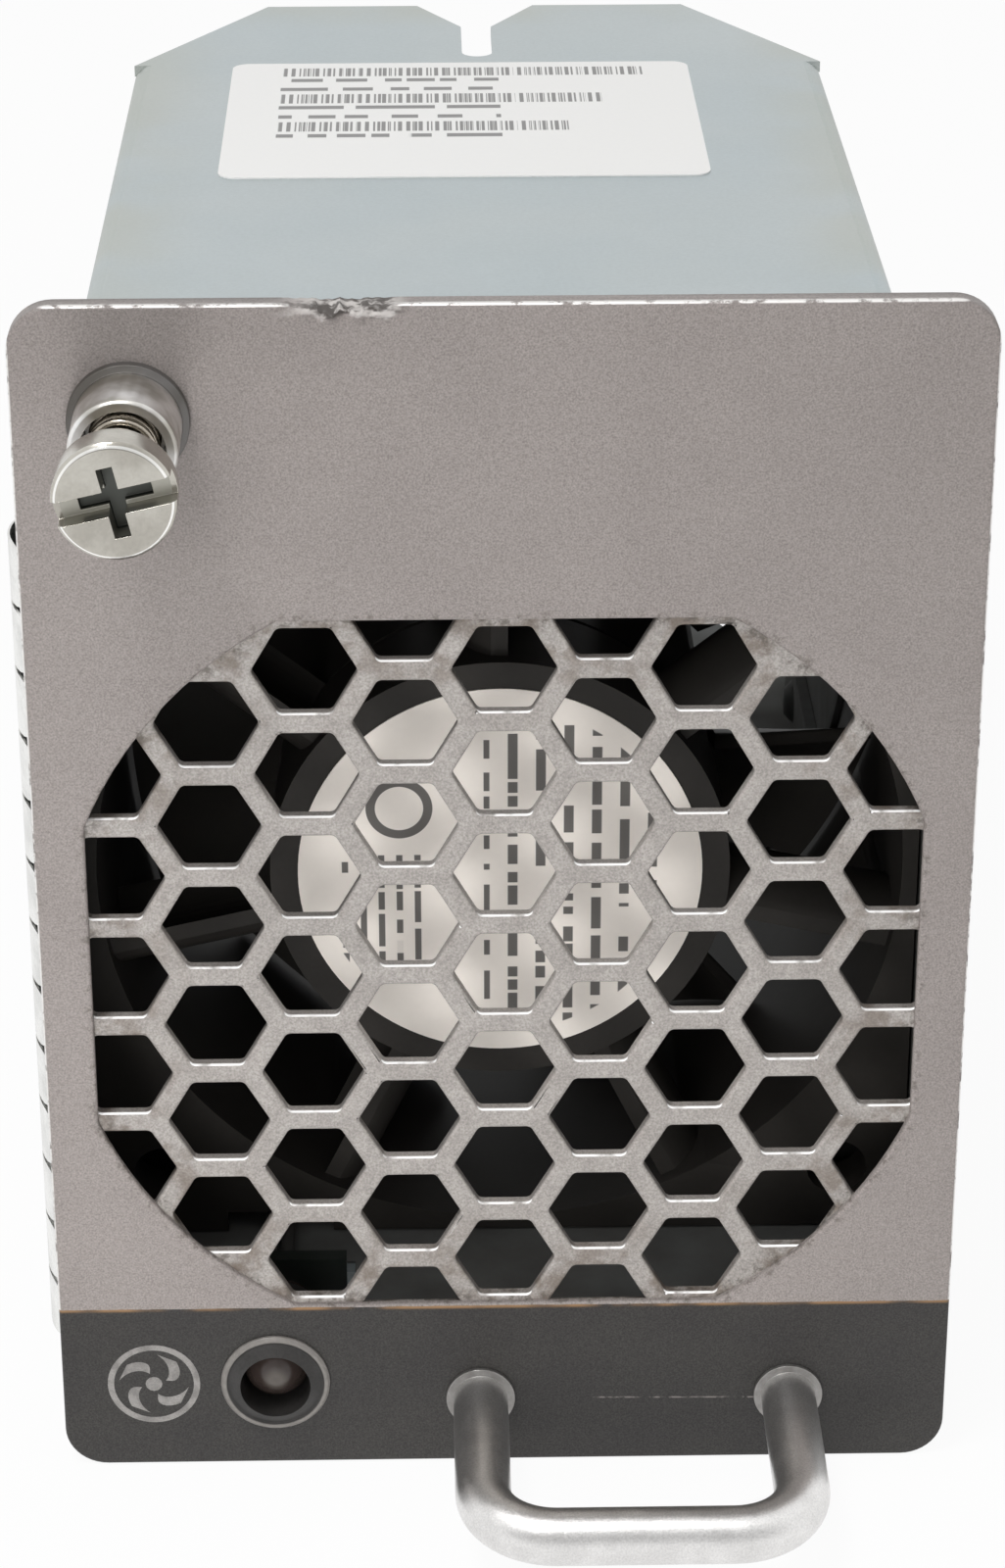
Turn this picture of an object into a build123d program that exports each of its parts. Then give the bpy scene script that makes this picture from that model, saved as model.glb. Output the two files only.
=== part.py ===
from build123d import *
import math
import os

# A plug-in fan tray for a two-unit switch: a painted front panel with a honeycomb screen, a sheet
# metal duct behind it, one 60 mm fan, a status lamp, a pull handle and a sprung captive screw.
# X runs to the right as seen from the front, Y runs back into the switch and Z runs up.
# The origin is the middle of the panel's bottom edge. All sizes are millimetres.

# Fan housing, which the duct and the panel close round
fan_side = 60.0
fan_depth = 38.0
fan_side_gap = 0.2
fan_setback = 15.1
fan_corner_radius = 3.0
fan_flange_thickness = 4.0
fan_wall = 1.1
fan_hole_inset = 5.0
fan_hole_radius = 2.2
hub_step = 0.3
hub_wall = 1.2
hub_floor = 2.0
hub_depth = 9.0
hub_post_radius = 1.3
label_margin = 2.0
label_thickness = 0.12
guide_vane_count = 7
guide_vane_thickness = 1.2
guide_vane_depth = 8.0
guide_vane_camber = 2.2

# Sheet metal duct; its depths are measured from the front of the screen
duct_foot = 8.5
duct_depth = 113.9
sheet_thickness = 1.0
sheet_bend_radius = 1.6
tongue_length = 19.9
tongue_taper = 11.5
guide_notch_width = 2.8
guide_notch_length = 17.5
guide_flare_width = 11.0
guide_flare_length = 7.5
top_flange_height = 5.0
top_flange_inset = 10.2
sheet_gap = 0.05
panel_tab_height = 5.6
panel_tab_width = 5.0
base_lip_height = 7.0
base_lip_front_gap = 3.0
base_lip_back_gap = 6.8
relief_gap = 0.6

# Front panel: how far it reaches past the duct, its thickness and its edges
panel_side_margin = 0.4
panel_top_margin = 17.3
panel_thickness = 1.5
panel_corner_radius = 3.0
panel_edge_radius = 0.25

# Air opening in the panel: a circle cut off at its sides, top and bottom
opening_bore_margin = 1.5
opening_side_cover = 2.05
opening_end_cover = 3.7
opening_lift = 0.15

# Honeycomb screen in a pocket at the back of the panel
screen_recess = 0.5
screen_thickness = 0.8
screen_lap = 1.6
screen_gap = 0.1
screen_corner_radius = 2.0
hexagon_pitch = 7.62
hexagon_across_flats = 6.14
hexagon_corner_radius = 0.5
hexagon_reach = 1.0

# Flush rivets through the duct walls and the base lips
rivet_radius = 1.2
rivet_head_radius = 2.0
rivet_head_depth = 0.7
rivet_tail_height = 0.8
rivet_gap = 0.05

# Spring finger gasket on the left wall
gasket_finger_pitch = 4.75
gasket_finger_gap = 0.5
gasket_end_gap = 0.4
gasket_rise = 1.6
gasket_width = 8.0
gasket_setback = 0.6
gasket_metal = 0.2

# Pull handle, placed from the panel's right edge
handle_rod_diameter = 3.9
handle_leg_spacing = 22.05
handle_inset = 11.3
handle_centre_z = 5.5
handle_reach = 16.5
handle_bend_radius = 5.0
handle_collar_radius = 2.47
handle_collar_height = 0.35
handle_screw_radius = 1.2
handle_screw_length = 7.0
handle_screw_head_radius = 2.2
screw_hole_gap = 0.15
tapped_hole_gap = 0.05

# Captive screw, placed from the panel's left and top edges
captive_inset = 7.6
ferrule_flange_radius = 3.95
ferrule_flange_height = 0.7
ferrule_radius = 3.5
ferrule_height = 5.9
ferrule_shank_radius = 3.0
ferrule_wall = 0.75
ferrule_floor = 1.1
ferrule_tail = 0.4
captive_head_radius = 3.87
captive_head_height = 2.6
captive_head_chamfer = 0.35
captive_travel = 5.6
captive_slide_gap = 0.4
captive_collar_height = 1.9
captive_neck_radius = 1.3
captive_thread_radius = 1.75
captive_thread_length = 6.5
captive_gap = 0.1
driver_slot_width = 1.6
driver_slot_depth = 1.5
driver_cross_width = 1.0
driver_cross_span = 4.6
driver_cross_depth = 2.0
driver_turn = 13.0
thrust_washer_thickness = 0.4
spring_wire = 0.4
spring_turns = 5.0

# Status lamp, placed from the panel's left and bottom edges
lamp_inset = 15.2
lamp_z = 7.0
lamp_radius = 2.45
lamp_length = 8.6
lamp_rim_step = 0.4
lamp_rim_height = 1.0
lamp_recess = 1.0
holder_flange_radius = 3.9
holder_flange_height = 0.4
holder_rim_width = 0.55
holder_dish = 0.15
holder_nose_reach = 0.8
holder_barrel_radius = 3.3
lamp_gap = 0.05
lamp_board_width = 10.0
lamp_board_height = 7.4
lamp_board_thickness = 1.2
lamp_pin_side = 0.5
lamp_pin_spacing = 2.54
lamp_pin_overhang = 1.0

# Fan motor
motor_board_gap = 1.8
motor_board_thickness = 1.2
motor_board_height = 3.8
bearing_radius = 4.0
bearing_length = 4.0
bearing_tube_wall = 0.6
bearing_end_gap = 1.0
bearing_ring_wall = 0.7
bearing_slack = 0.06
core_radius = 12.0
core_setback = 12.0
core_end_gap = 12.0
core_ring_wall = 2.0
core_pole_width = 4.0
core_shoe_depth = 2.0
core_pole_gap = 3.2
winding_build = 2.1
winding_overhang = 1.5
winding_gap = 0.15
air_gap = 0.4
magnet_thickness = 1.8
yoke_thickness = 0.8
shaft_radius = 1.5
clip_thickness = 0.4
clip_width = 0.8
bushing_wall = 2.0
bushing_length = 4.8
bushing_gap = 1.2

# Fan rotor
rotor_hub_wall = 1.2
rotor_setback = 10.2
rotor_back_gap = 0.6
rotor_back_wall = 1.4
blade_count = 7
blade_tip_gap = 0.5
blade_root_chord = 19.0
blade_tip_chord = 22.0
blade_root_angle = 38.0
blade_tip_angle = 56.0
blade_camber = 2.4
blade_thickness = 1.1

# Bulkhead that carries the fan
bulkhead_flange = 6.0
bulkhead_gap = 0.1
inlet_lip = 0.5
fan_screw_radius = 2.0
fan_screw_length = 8.5
fan_screw_head_radius = 3.5
fan_screw_head_height = 2.0

# Leads along the floor of the duct
lead_diameter = 1.0
lead_pitch = 1.25
lead_floor_gap = 0.5
lead_channel_gap = 0.3
lead_bend_start = 18.0
lead_bend_end = 8.9
lead_bend_radius = 4.0
lead_clip_length = 5.0
lead_clip_setback = 2.0
lead_clip_wall = 0.8
lead_clip_gap = 0.05

# Rear connector
connector_x = -4.0
connector_ways = 6
connector_pitch = 2.54
connector_height = 10.0
connector_length = 13.0
connector_setback = 0.8
connector_wall = 1.3
connector_cavity_depth = 8.0
connector_pin_side = 0.64
connector_pin_rows = 2
connector_pin_proud = 6.0
bracket_thickness = 1.0
bracket_length = 8.0
bracket_ear = 6.0
bracket_gap = 0.05
bracket_screw_radius = 1.25
bracket_screw_head_radius = 2.2
bracket_screw_head_height = 1.3
bracket_screw_tail = 0.5

# Paper label on top of the duct, up to the duct's back end
cover_label_inset = 9.0
cover_label_width = 41.2
cover_label_length = 33.9
cover_label_corner = 1.5
cover_label_thickness = 0.12

# Duct and panel round the fan
duct_inner_width = fan_side + 2 * fan_side_gap
duct_inner_height = fan_side + 2 * fan_side_gap
duct_width = duct_inner_width + 2 * sheet_thickness
duct_height = duct_inner_height + 2 * sheet_thickness
duct_top = duct_foot + duct_height
floor_top = duct_foot + sheet_thickness
ceiling = duct_top - sheet_thickness
fan_axis_z = duct_foot + duct_height / 2
panel_width = duct_width + 2 * panel_side_margin
panel_height = duct_top + panel_top_margin
panel_front = -panel_thickness / 2
panel_back = panel_thickness / 2

# Depths behind the screen's front
screen_front = panel_front + screen_recess
duct_end = screen_front + duct_depth
tongue_end = duct_end + tongue_length
fan_front = screen_front + fan_setback
fan_back = fan_front + fan_depth
bulkhead_back = fan_back + sheet_thickness

# Fan and motor radii
fan_bore_radius = fan_side / 2 - fan_wall
bearing_tube_radius = bearing_radius + bearing_tube_wall
core_ring_radius = bearing_tube_radius + core_ring_wall
magnet_radius = core_radius + air_gap + magnet_thickness
yoke_radius = magnet_radius + yoke_thickness
rotor_hub_radius = yoke_radius + rotor_hub_wall
hub_radius = rotor_hub_radius + hub_step
label_radius = hub_radius - label_margin
motor_board_radius = hub_radius - hub_wall - motor_board_gap
hub_boss_radius = bearing_tube_radius + hub_wall

# Depths inside the fan
rotor_end = fan_back - rotor_back_gap
rotor_floor = rotor_end - rotor_back_wall
core_front = fan_front + core_setback
core_back = fan_back - core_end_gap
bearing_tube_front = fan_front + hub_floor
bearing_tube_back = rotor_floor - bushing_length - bushing_gap

# The opening over the fan's bore
opening_radius = fan_bore_radius + opening_bore_margin
opening_width = duct_inner_width - 2 * opening_side_cover
opening_height = duct_inner_height - 2 * opening_end_cover
opening_z = fan_axis_z + opening_lift

# Places on the panel
captive_x = captive_inset - panel_width / 2
captive_z = panel_height - captive_inset
captive_collar_radius = ferrule_radius - ferrule_wall - captive_slide_gap
lamp_x = lamp_inset - panel_width / 2
lamp_bore_radius = lamp_radius + lamp_gap
lamp_crown = panel_front - holder_nose_reach + lamp_recess
lamp_board_front = lamp_crown + lamp_length
handle_right_x = panel_width / 2 - handle_inset
handle_centre_x = handle_right_x - handle_leg_spacing / 2
handle_leg_x = [handle_right_x - handle_leg_spacing, handle_right_x]

# Leads and connector
lead_z = floor_top + lead_floor_gap + lead_diameter / 2
lead_x = [lamp_x + (i - (connector_ways - 1) / 2) * lead_pitch for i in range(connector_ways)]
way_x = [connector_x + (i - (connector_ways - 1) / 2) * connector_pitch for i in range(connector_ways)]
lead_band = (connector_ways - 1) * lead_pitch + lead_diameter + 2 * lead_channel_gap
lead_channel_top = lead_z + lead_diameter / 2 + lead_channel_gap
connector_width = connector_ways * connector_pitch + 2 * connector_wall
connector_back = tongue_end - connector_setback
connector_front = connector_back - connector_length
front_clip_y = bulkhead_back + bulkhead_flange + lead_bend_start / 2
back_clip_y = connector_front - lead_clip_length - lead_clip_setback


def seen_from_front(y):
    """The plane at depth y whose drawing reads X to the right and Z up."""
    return Plane.XZ.offset(-y)


def plate(drawing, front, back):
    """A flat piece with its outline drawn as seen from the front."""
    return extrude(seen_from_front(front) * drawing, amount=front - back)


def disc(x, z, radius, front, back):
    return plate(Pos(x, z) * Circle(radius), front, back)


def tube(x, z, outer, inner, front, back):
    return disc(x, z, outer, front, back) - disc(x, z, inner, front, back)


def block(left, right, front, back, bottom, top):
    centre = Pos((left + right) / 2, (front + back) / 2, (bottom + top) / 2)
    return centre * Box(right - left, back - front, top - bottom)


def turned(outline, x, z):
    """A turned piece: the outline's points are (radius, y)."""
    return Pos(x, 0, z) * revolve(make_face(Polyline(*outline, close=True)), Axis.Y)


def about_fan_axis(piece, angle):
    return Pos(0, 0, fan_axis_z) * Rot(0, angle, 0) * Pos(0, 0, -fan_axis_z) * piece


def opening_drawing(margin):
    """The panel's air opening, grown by a margin."""
    circle = Circle(opening_radius + margin)
    sides = Rectangle(opening_width + 2 * margin, opening_height + 2 * margin)
    return Pos(0, opening_z) * (circle & sides)


def hexagon_centres():
    """Cells of the honeycomb whose centres lie in the opening or just past its edge."""
    centres = []
    column_step = hexagon_pitch * math.sqrt(3) / 2
    columns = math.ceil(opening_width / 2 / column_step)
    rows = math.ceil(opening_height / 2 / hexagon_pitch) + 1
    for column in range(-columns, columns + 1):
        shift = 0.5 if column % 2 else 0.0
        for row in range(-rows, rows + 1):
            x = column * column_step
            z = fan_axis_z + (row + shift) * hexagon_pitch
            inside_circle = math.hypot(x, z - opening_z) <= opening_radius + hexagon_reach
            inside_sides = abs(x) <= opening_width / 2 + hexagon_reach
            inside_height = abs(z - opening_z) <= opening_height / 2 + hexagon_reach
            if inside_circle and inside_sides and inside_height:
                centres.append((x, z))
    return centres


def screen_drawing(margin):
    """Outline of the screen, grown by a margin."""
    width = opening_width + 2 * screen_lap + 2 * margin
    height = opening_height + 2 * screen_lap + 2 * margin
    return Pos(0, opening_z) * RectangleRounded(width, height, screen_corner_radius + margin)


def front_panel():
    outline = Pos(0, panel_height / 2) * RectangleRounded(panel_width, panel_height, panel_corner_radius)
    panel = plate(outline - opening_drawing(0), panel_front, panel_back)
    panel = fillet(panel.faces().sort_by(Axis.Y)[0].edges(), panel_edge_radius)
    panel -= plate(screen_drawing(screen_gap), screen_front, panel_back)
    panel -= disc(captive_x, captive_z, ferrule_shank_radius, panel_front, panel_back)
    panel -= disc(lamp_x, lamp_z, holder_barrel_radius, panel_front, panel_back)
    hole = handle_screw_radius + screw_hole_gap
    sink = panel_back - (handle_screw_head_radius - hole)
    countersink = [(0, panel_front), (hole, panel_front), (hole, sink)]
    countersink += [(handle_screw_head_radius, panel_back), (0, panel_back)]
    for x in handle_leg_x:
        panel -= turned(countersink, x, handle_centre_z)
    return panel


def honeycomb_screen():
    cell = RegularPolygon(hexagon_across_flats / 2, 6, major_radius=False)
    cell = fillet(cell.vertices(), hexagon_corner_radius)
    trim = opening_drawing(screen_lap / 4)
    holes = [Pos(x, z) * cell & trim for x, z in hexagon_centres()]
    return plate(screen_drawing(0) - holes, screen_front, screen_front + screen_thickness)


def base_lip_ends():
    """Depths of the front and back ends of the base's lips."""
    return bulkhead_back + bulkhead_flange + base_lip_front_gap, duct_end - base_lip_back_gap


def rivet_places():
    """(wall side, depth) of each rivet, near the ends of the base's lips."""
    front, back = base_lip_ends()
    inset = base_lip_height
    return [(side, depth) for side in (-1, 1) for depth in (front + inset, back - inset)]


def rivet_z():
    return floor_top + base_lip_height / 2


def across_wall(side, depth, outline):
    """A turned piece across a side wall: the outline's points are (radius, distance inwards)."""
    piece = revolve(make_face(Polyline(*outline, close=True)), Axis.Y)
    turn = Rot(0, 0, -90) if side < 0 else Rot(0, 0, 90)
    return Pos(side * duct_width / 2, depth, rivet_z()) * turn * piece


def tongue_outline():
    """Plan of the plate behind the walls, with its corners cut off."""
    half = duct_width / 2
    tip = half - tongue_taper
    corners = [(-half, duct_end), (-tip, tongue_end), (tip, tongue_end), (half, duct_end)]
    return make_face(Polyline(*corners, close=True))


def guide_notch():
    """The slot in the tongue that a key in the switch enters, with a flared mouth and a round end."""
    half = guide_notch_width / 2
    mouth = guide_flare_width / 2
    straight = tongue_end - guide_notch_length + half
    flare = tongue_end - guide_flare_length
    corners = [(-half, straight), (-half, flare), (-mouth, tongue_end), (mouth, tongue_end)]
    corners += [(half, flare), (half, straight)]
    return make_face(Polyline(*corners, close=True)) + Pos(0, straight) * Circle(half)


def tray_wrap():
    """Top and side walls of the duct, folded from one sheet, with the guide tongue at the back."""
    middle = Pos(0, fan_axis_z)
    outer = middle * Rectangle(duct_width, duct_height)
    outer = fillet(outer.vertices().sort_by(Axis.Y)[-2:], sheet_bend_radius)
    inner_height = duct_height - sheet_thickness
    inner = middle * Pos(0, -sheet_thickness / 2) * Rectangle(duct_inner_width, inner_height)
    inner_radius = max(sheet_bend_radius - sheet_thickness, sheet_thickness / 4)
    inner = fillet(inner.vertices().sort_by(Axis.Y)[-2:], inner_radius)
    wrap = plate(outer - inner, panel_back, duct_end)
    tongue = extrude(Plane.XY.offset(ceiling) * (tongue_outline() - guide_notch()), amount=sheet_thickness)
    half_flange = duct_width / 2 - top_flange_inset
    flange_top = duct_top + top_flange_height
    flange = block(-half_flange, half_flange, panel_back, panel_back + sheet_thickness, ceiling, flange_top)
    wrap += tongue + flange
    wall = sheet_thickness + rivet_gap
    hole = rivet_radius + rivet_gap
    head = rivet_head_radius + rivet_gap
    for side, depth in rivet_places():
        cone = [(0, -rivet_gap), (head, -rivet_gap), (head, 0)]
        cone += [(hole, rivet_head_depth), (hole, wall), (0, wall)]
        wrap -= across_wall(side, depth, cone)
    return wrap


def tray_base():
    """Floor of the duct, with lips inside the walls and tabs behind the panel."""
    half = duct_inner_width / 2 - sheet_gap
    floor = block(-half, half, panel_back, duct_end, duct_foot, floor_top)
    tongue = extrude(Plane.XY.offset(duct_foot) * tongue_outline(), amount=sheet_thickness)
    side_cut = 2 * duct_width
    for side in (-1, 1):
        near = side * half
        far = side * side_cut
        tongue -= block(min(near, far), max(near, far), duct_end, tongue_end, duct_foot, floor_top)
    base = floor + tongue
    lip_front, lip_back = base_lip_ends()
    lip_top = floor_top + base_lip_height
    for side in (-1, 1):
        edge = side * half
        inner = side * (half - sheet_thickness)
        lip = block(min(edge, inner), max(edge, inner), lip_front, lip_back, duct_foot, lip_top)
        base += lip
    tab_places = [-half + panel_tab_width / 2, handle_centre_x, half - panel_tab_width / 2]
    tab_back = panel_back + sheet_thickness
    tab_foot = duct_foot - panel_tab_height
    for x in tab_places:
        left = x - panel_tab_width / 2
        base += block(left, left + panel_tab_width, panel_back, tab_back, tab_foot, floor_top)
    lamp_half = lamp_board_width / 2 + relief_gap
    lamp_depth = lamp_board_front + lamp_board_thickness + lamp_pin_overhang + relief_gap
    base -= block(lamp_x - lamp_half, lamp_x + lamp_half, panel_back, lamp_depth, duct_foot, floor_top)
    for side, depth in rivet_places():
        hole = rivet_radius + rivet_gap
        reach = 3 * sheet_thickness
        base -= across_wall(side, depth, [(0, 0), (hole, 0), (hole, reach), (0, reach)])
    for x in bracket_screw_x():
        hole = Pos(x, bracket_middle(), duct_foot) * Circle(bracket_screw_radius + screw_hole_gap)
        base -= extrude(hole, amount=sheet_thickness)
    return base


def shell_rivets():
    """Countersunk rivets, flush with the walls, each with its formed tail inside the lip."""
    grip = 2 * sheet_thickness + sheet_gap
    tail = grip + rivet_tail_height
    outline = [(0, 0), (rivet_head_radius, 0), (rivet_radius, rivet_head_depth), (rivet_radius, grip)]
    outline += [(rivet_head_radius, grip), (rivet_radius, tail), (0, tail)]
    return Compound([across_wall(side, depth, outline) for side, depth in rivet_places()])


def emi_gasket():
    """A strip of arched spring fingers on the left wall, just behind the panel."""
    wall = -duct_width / 2
    front = panel_back + gasket_setback
    back = front + gasket_width
    middle = (front + back) / 2
    finger_count = int((duct_height - gasket_end_gap) / gasket_finger_pitch)
    length = finger_count * gasket_finger_pitch - gasket_finger_gap
    bottom = fan_axis_z - length / 2
    strip = block(wall - gasket_metal, wall, front, back, bottom, bottom + length)
    crest = wall - gasket_rise
    outer_arc = ThreePointArc((wall - gasket_metal, front), (crest, middle), (wall - gasket_metal, back))
    inner_front = (wall - gasket_metal, front + 1.5 * gasket_metal)
    inner_back = (wall - gasket_metal, back - 1.5 * gasket_metal)
    inner_arc = ThreePointArc(inner_back, (crest + gasket_metal, middle), inner_front)
    ends = Line(outer_arc @ 1, inner_arc @ 0) + Line(inner_arc @ 1, outer_arc @ 0)
    profile = make_face(outer_arc + inner_arc + ends)
    finger = extrude(profile, amount=gasket_finger_pitch - gasket_finger_gap)
    for i in range(finger_count):
        strip += Pos(0, 0, bottom + i * gasket_finger_pitch) * finger
    return strip


def handle_bar():
    """Aluminium rod bent into a bail, with a collar and a tapped hole at the end of each leg."""
    seat = panel_front
    crossbar = panel_front - handle_reach
    left, right = handle_leg_x
    path = FilletPolyline(
        (left, seat, handle_centre_z),
        (left, crossbar, handle_centre_z),
        (right, crossbar, handle_centre_z),
        (right, seat, handle_centre_z),
        radius=handle_bend_radius,
    )
    section = seen_from_front(seat) * Pos(left, handle_centre_z) * Circle(handle_rod_diameter / 2)
    bar = sweep(section, path=path)
    for x in handle_leg_x:
        bar += disc(x, handle_centre_z, handle_collar_radius, seat - handle_collar_height, seat)
        tip = panel_back - handle_screw_length - tapped_hole_gap
        bar -= disc(x, handle_centre_z, handle_screw_radius + tapped_hole_gap, tip, seat)
    return bar


def handle_screws():
    """Countersunk screws from behind, flush with the panel's back."""
    tip = panel_back - handle_screw_length
    neck = panel_back - (handle_screw_head_radius - handle_screw_radius)
    outline = [(0, tip), (handle_screw_radius, tip), (handle_screw_radius, neck)]
    outline += [(handle_screw_head_radius, panel_back), (0, panel_back)]
    return Compound([turned(outline, x, handle_centre_z) for x in handle_leg_x])


def ferrule_pocket():
    """Depth of the floor of the spring's pocket."""
    return panel_front - ferrule_floor


def screw_ferrule():
    """Pressed-in sleeve that holds the captive screw and its spring."""
    rim = panel_front - ferrule_height
    flange = panel_front - ferrule_flange_height
    pocket = ferrule_radius - ferrule_wall
    passage = captive_neck_radius + captive_gap
    tail = panel_back + ferrule_tail
    bevel = ferrule_wall / 4
    outline = [(passage, tail), (ferrule_shank_radius, tail), (ferrule_shank_radius, panel_front)]
    outline += [(ferrule_flange_radius, panel_front), (ferrule_flange_radius, flange)]
    outline += [(ferrule_radius, flange - bevel), (ferrule_radius, rim + bevel)]
    outline += [(ferrule_radius - bevel, rim), (pocket, rim)]
    outline += [(pocket, ferrule_pocket()), (passage, ferrule_pocket())]
    return turned(outline, captive_x, captive_z)


def captive_head_back():
    """Depth of the underside of the head while the spring holds the screw out."""
    return panel_front - ferrule_height - captive_travel


def captive_screw():
    """Slotted and cross-recessed head, collar, thin neck and thread, turned in one piece."""
    under_head = captive_head_back()
    face = under_head - captive_head_height
    under_collar = under_head + captive_collar_height
    shoulder = panel_back + ferrule_tail + captive_gap
    tip = shoulder + captive_thread_length
    chamfer = captive_head_chamfer
    outline = [(0, face), (captive_head_radius - chamfer, face), (captive_head_radius, face + chamfer)]
    outline += [(captive_head_radius, under_head), (captive_collar_radius, under_head)]
    outline += [(captive_collar_radius, under_collar), (captive_neck_radius, under_collar)]
    outline += [(captive_neck_radius, shoulder), (captive_thread_radius, shoulder)]
    bevel = captive_thread_radius / 3
    outline += [(captive_thread_radius, tip - bevel), (captive_thread_radius - bevel, tip), (0, tip)]
    screw = turned(outline, captive_x, captive_z)
    place = Pos(captive_x, captive_z) * Rot(0, 0, driver_turn)
    slot = Rectangle(3 * captive_head_radius, driver_slot_width)
    arm = Rectangle(driver_cross_span, driver_cross_width)
    cross = arm + Rot(0, 0, 90) * arm
    screw -= plate(place * slot, face, face + driver_slot_depth)
    screw -= plate(place * cross, face, face + driver_cross_depth)
    return screw


def thrust_washer():
    """Washer between the spring and the screw's collar; it slides with the screw and does not turn."""
    front = captive_head_back() + captive_collar_height
    back = front + thrust_washer_thickness
    bore = captive_neck_radius + captive_gap
    return tube(captive_x, captive_z, captive_collar_radius, bore, front, back)


def screw_spring():
    """Compression spring between the washer and the floor of the ferrule's pocket."""
    front = captive_head_back() + captive_collar_height + thrust_washer_thickness
    back = ferrule_pocket()
    height = back - front - spring_wire
    mean_radius = captive_collar_radius - spring_wire / 2
    coil = Helix(pitch=height / spring_turns, height=height, radius=mean_radius)
    start = Plane(origin=coil @ 0, z_dir=coil % 0)
    wire = sweep(start * RegularPolygon(spring_wire / 2, 6), path=coil, is_frenet=True)
    return Pos(captive_x, front + spring_wire / 2, captive_z) * Rot(-90, 0, 0) * wire


def led_holder():
    """Bezel ring on the panel, a cone inside it that ends round the lens, and a barrel for the lamp."""
    rim = panel_front - holder_flange_height
    back = lamp_board_front - lamp_rim_height
    bevel = holder_rim_width / 3
    cone_radius = holder_flange_radius - holder_rim_width
    outline = [(lamp_bore_radius, back), (holder_barrel_radius, back), (holder_barrel_radius, panel_front)]
    outline += [(holder_flange_radius, panel_front), (holder_flange_radius, rim + bevel)]
    outline += [(holder_flange_radius - bevel, rim), (cone_radius + bevel, rim)]
    outline += [(cone_radius, rim + holder_dish), (lamp_bore_radius, panel_front - holder_nose_reach)]
    return turned(outline, lamp_x, lamp_z)


def status_led():
    """Round lamp with a domed lens, a body and a wider rim at the back."""
    back = lamp_board_front
    rim = back - lamp_rim_height
    shoulder = lamp_crown + lamp_radius
    slope = lamp_radius * math.sqrt(0.5)
    rim_radius = lamp_radius + lamp_rim_step
    dome = ThreePointArc((0, lamp_crown), (slope, shoulder - slope), (lamp_radius, shoulder))
    outline = [(lamp_radius, shoulder), (lamp_radius, rim), (rim_radius, rim), (rim_radius, back), (0, back)]
    sides = Polyline(*outline, (0, lamp_crown))
    return Pos(lamp_x, 0, lamp_z) * revolve(make_face(dome + sides), Axis.Y)


def led_pins():
    """Two square pins from the lamp through its board."""
    back = lamp_board_front + lamp_board_thickness + lamp_pin_overhang
    half = lamp_pin_side / 2
    pins = []
    for side in (-1, 1):
        x = lamp_x + side * lamp_pin_spacing / 2
        pins.append(block(x - half, x + half, lamp_board_front, back, lamp_z - half, lamp_z + half))
    return Compound(pins)


def led_board():
    """Small board behind the lamp; the lamp's two leads are soldered to it."""
    back = lamp_board_front + lamp_board_thickness
    left = lamp_x - lamp_board_width / 2
    top = lead_z + lead_diameter
    board = block(left, left + lamp_board_width, lamp_board_front, back, top - lamp_board_height, top)
    for side in (-1, 1):
        x = lamp_x + side * lamp_pin_spacing / 2
        half = lamp_pin_side / 2
        board -= block(x - half, x + half, lamp_board_front, back, lamp_z - half, lamp_z + half)
    return board


def guide_vane():
    """One curved vane between the hub and the housing, drawn edge on and drawn out along its radius."""
    front = fan_front + hub_wall
    back = front + guide_vane_depth
    middle = (front + back) / 2
    half = guide_vane_thickness / 2
    left = ThreePointArc((-half, front), (-half - guide_vane_camber, middle), (-half, back))
    right = ThreePointArc((half, back), (half - guide_vane_camber, middle), (half, front))
    ends = Line(left @ 1, right @ 0) + Line(right @ 1, left @ 0)
    profile = make_face(left + right + ends)
    root = hub_radius - hub_wall / 2
    tip = fan_bore_radius + hub_wall / 2
    return extrude(Plane.XY.offset(fan_axis_z + root) * profile, amount=tip - root)


def fan_hole_centres():
    half = fan_side / 2 - fan_hole_inset
    return [(x, fan_axis_z + z) for x in (-half, half) for z in (-half, half)]


def fan_frame():
    """Fan housing: two square flanges, a barrel, the motor's hub cup and the vanes that hold it."""
    square = Pos(0, fan_axis_z) * RectangleRounded(fan_side, fan_side, fan_corner_radius)
    front_flange = plate(square, fan_front, fan_front + fan_flange_thickness)
    back_flange = plate(square, fan_back - fan_flange_thickness, fan_back)
    barrel = disc(0, fan_axis_z, fan_side / 2, fan_front, fan_back)
    frame = front_flange + back_flange + barrel
    frame -= disc(0, fan_axis_z, fan_bore_radius, fan_front, fan_back)
    for x, z in fan_hole_centres():
        frame -= disc(x, z, fan_hole_radius, fan_front, fan_back)
    channel_half = lead_band / 2
    floor = fan_axis_z - fan_side / 2
    frame -= block(lamp_x - channel_half, lamp_x + channel_half, fan_front, fan_back, floor, lead_channel_top)
    cup = disc(0, fan_axis_z, hub_radius, fan_front, fan_front + hub_depth)
    cup -= disc(0, fan_axis_z, hub_radius - hub_wall, fan_front + hub_floor, fan_front + hub_depth)
    vane = guide_vane()
    for i in range(guide_vane_count):
        frame += about_fan_axis(vane, i * 360 / guide_vane_count)
    frame += cup
    boss_back = fan_front + hub_floor + motor_board_height - sheet_gap
    frame += disc(0, fan_axis_z, hub_boss_radius, fan_front + hub_floor, boss_back)
    post_x = (hub_boss_radius + motor_board_radius) / 2
    post_back = fan_front + hub_floor + motor_board_height
    post = disc(post_x, fan_axis_z, hub_post_radius, fan_front + hub_floor, post_back)
    for i in range(3):
        frame += about_fan_axis(post, i * 120)
    return frame - disc(0, fan_axis_z, bearing_tube_radius, fan_front + hub_floor, boss_back)


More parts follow.
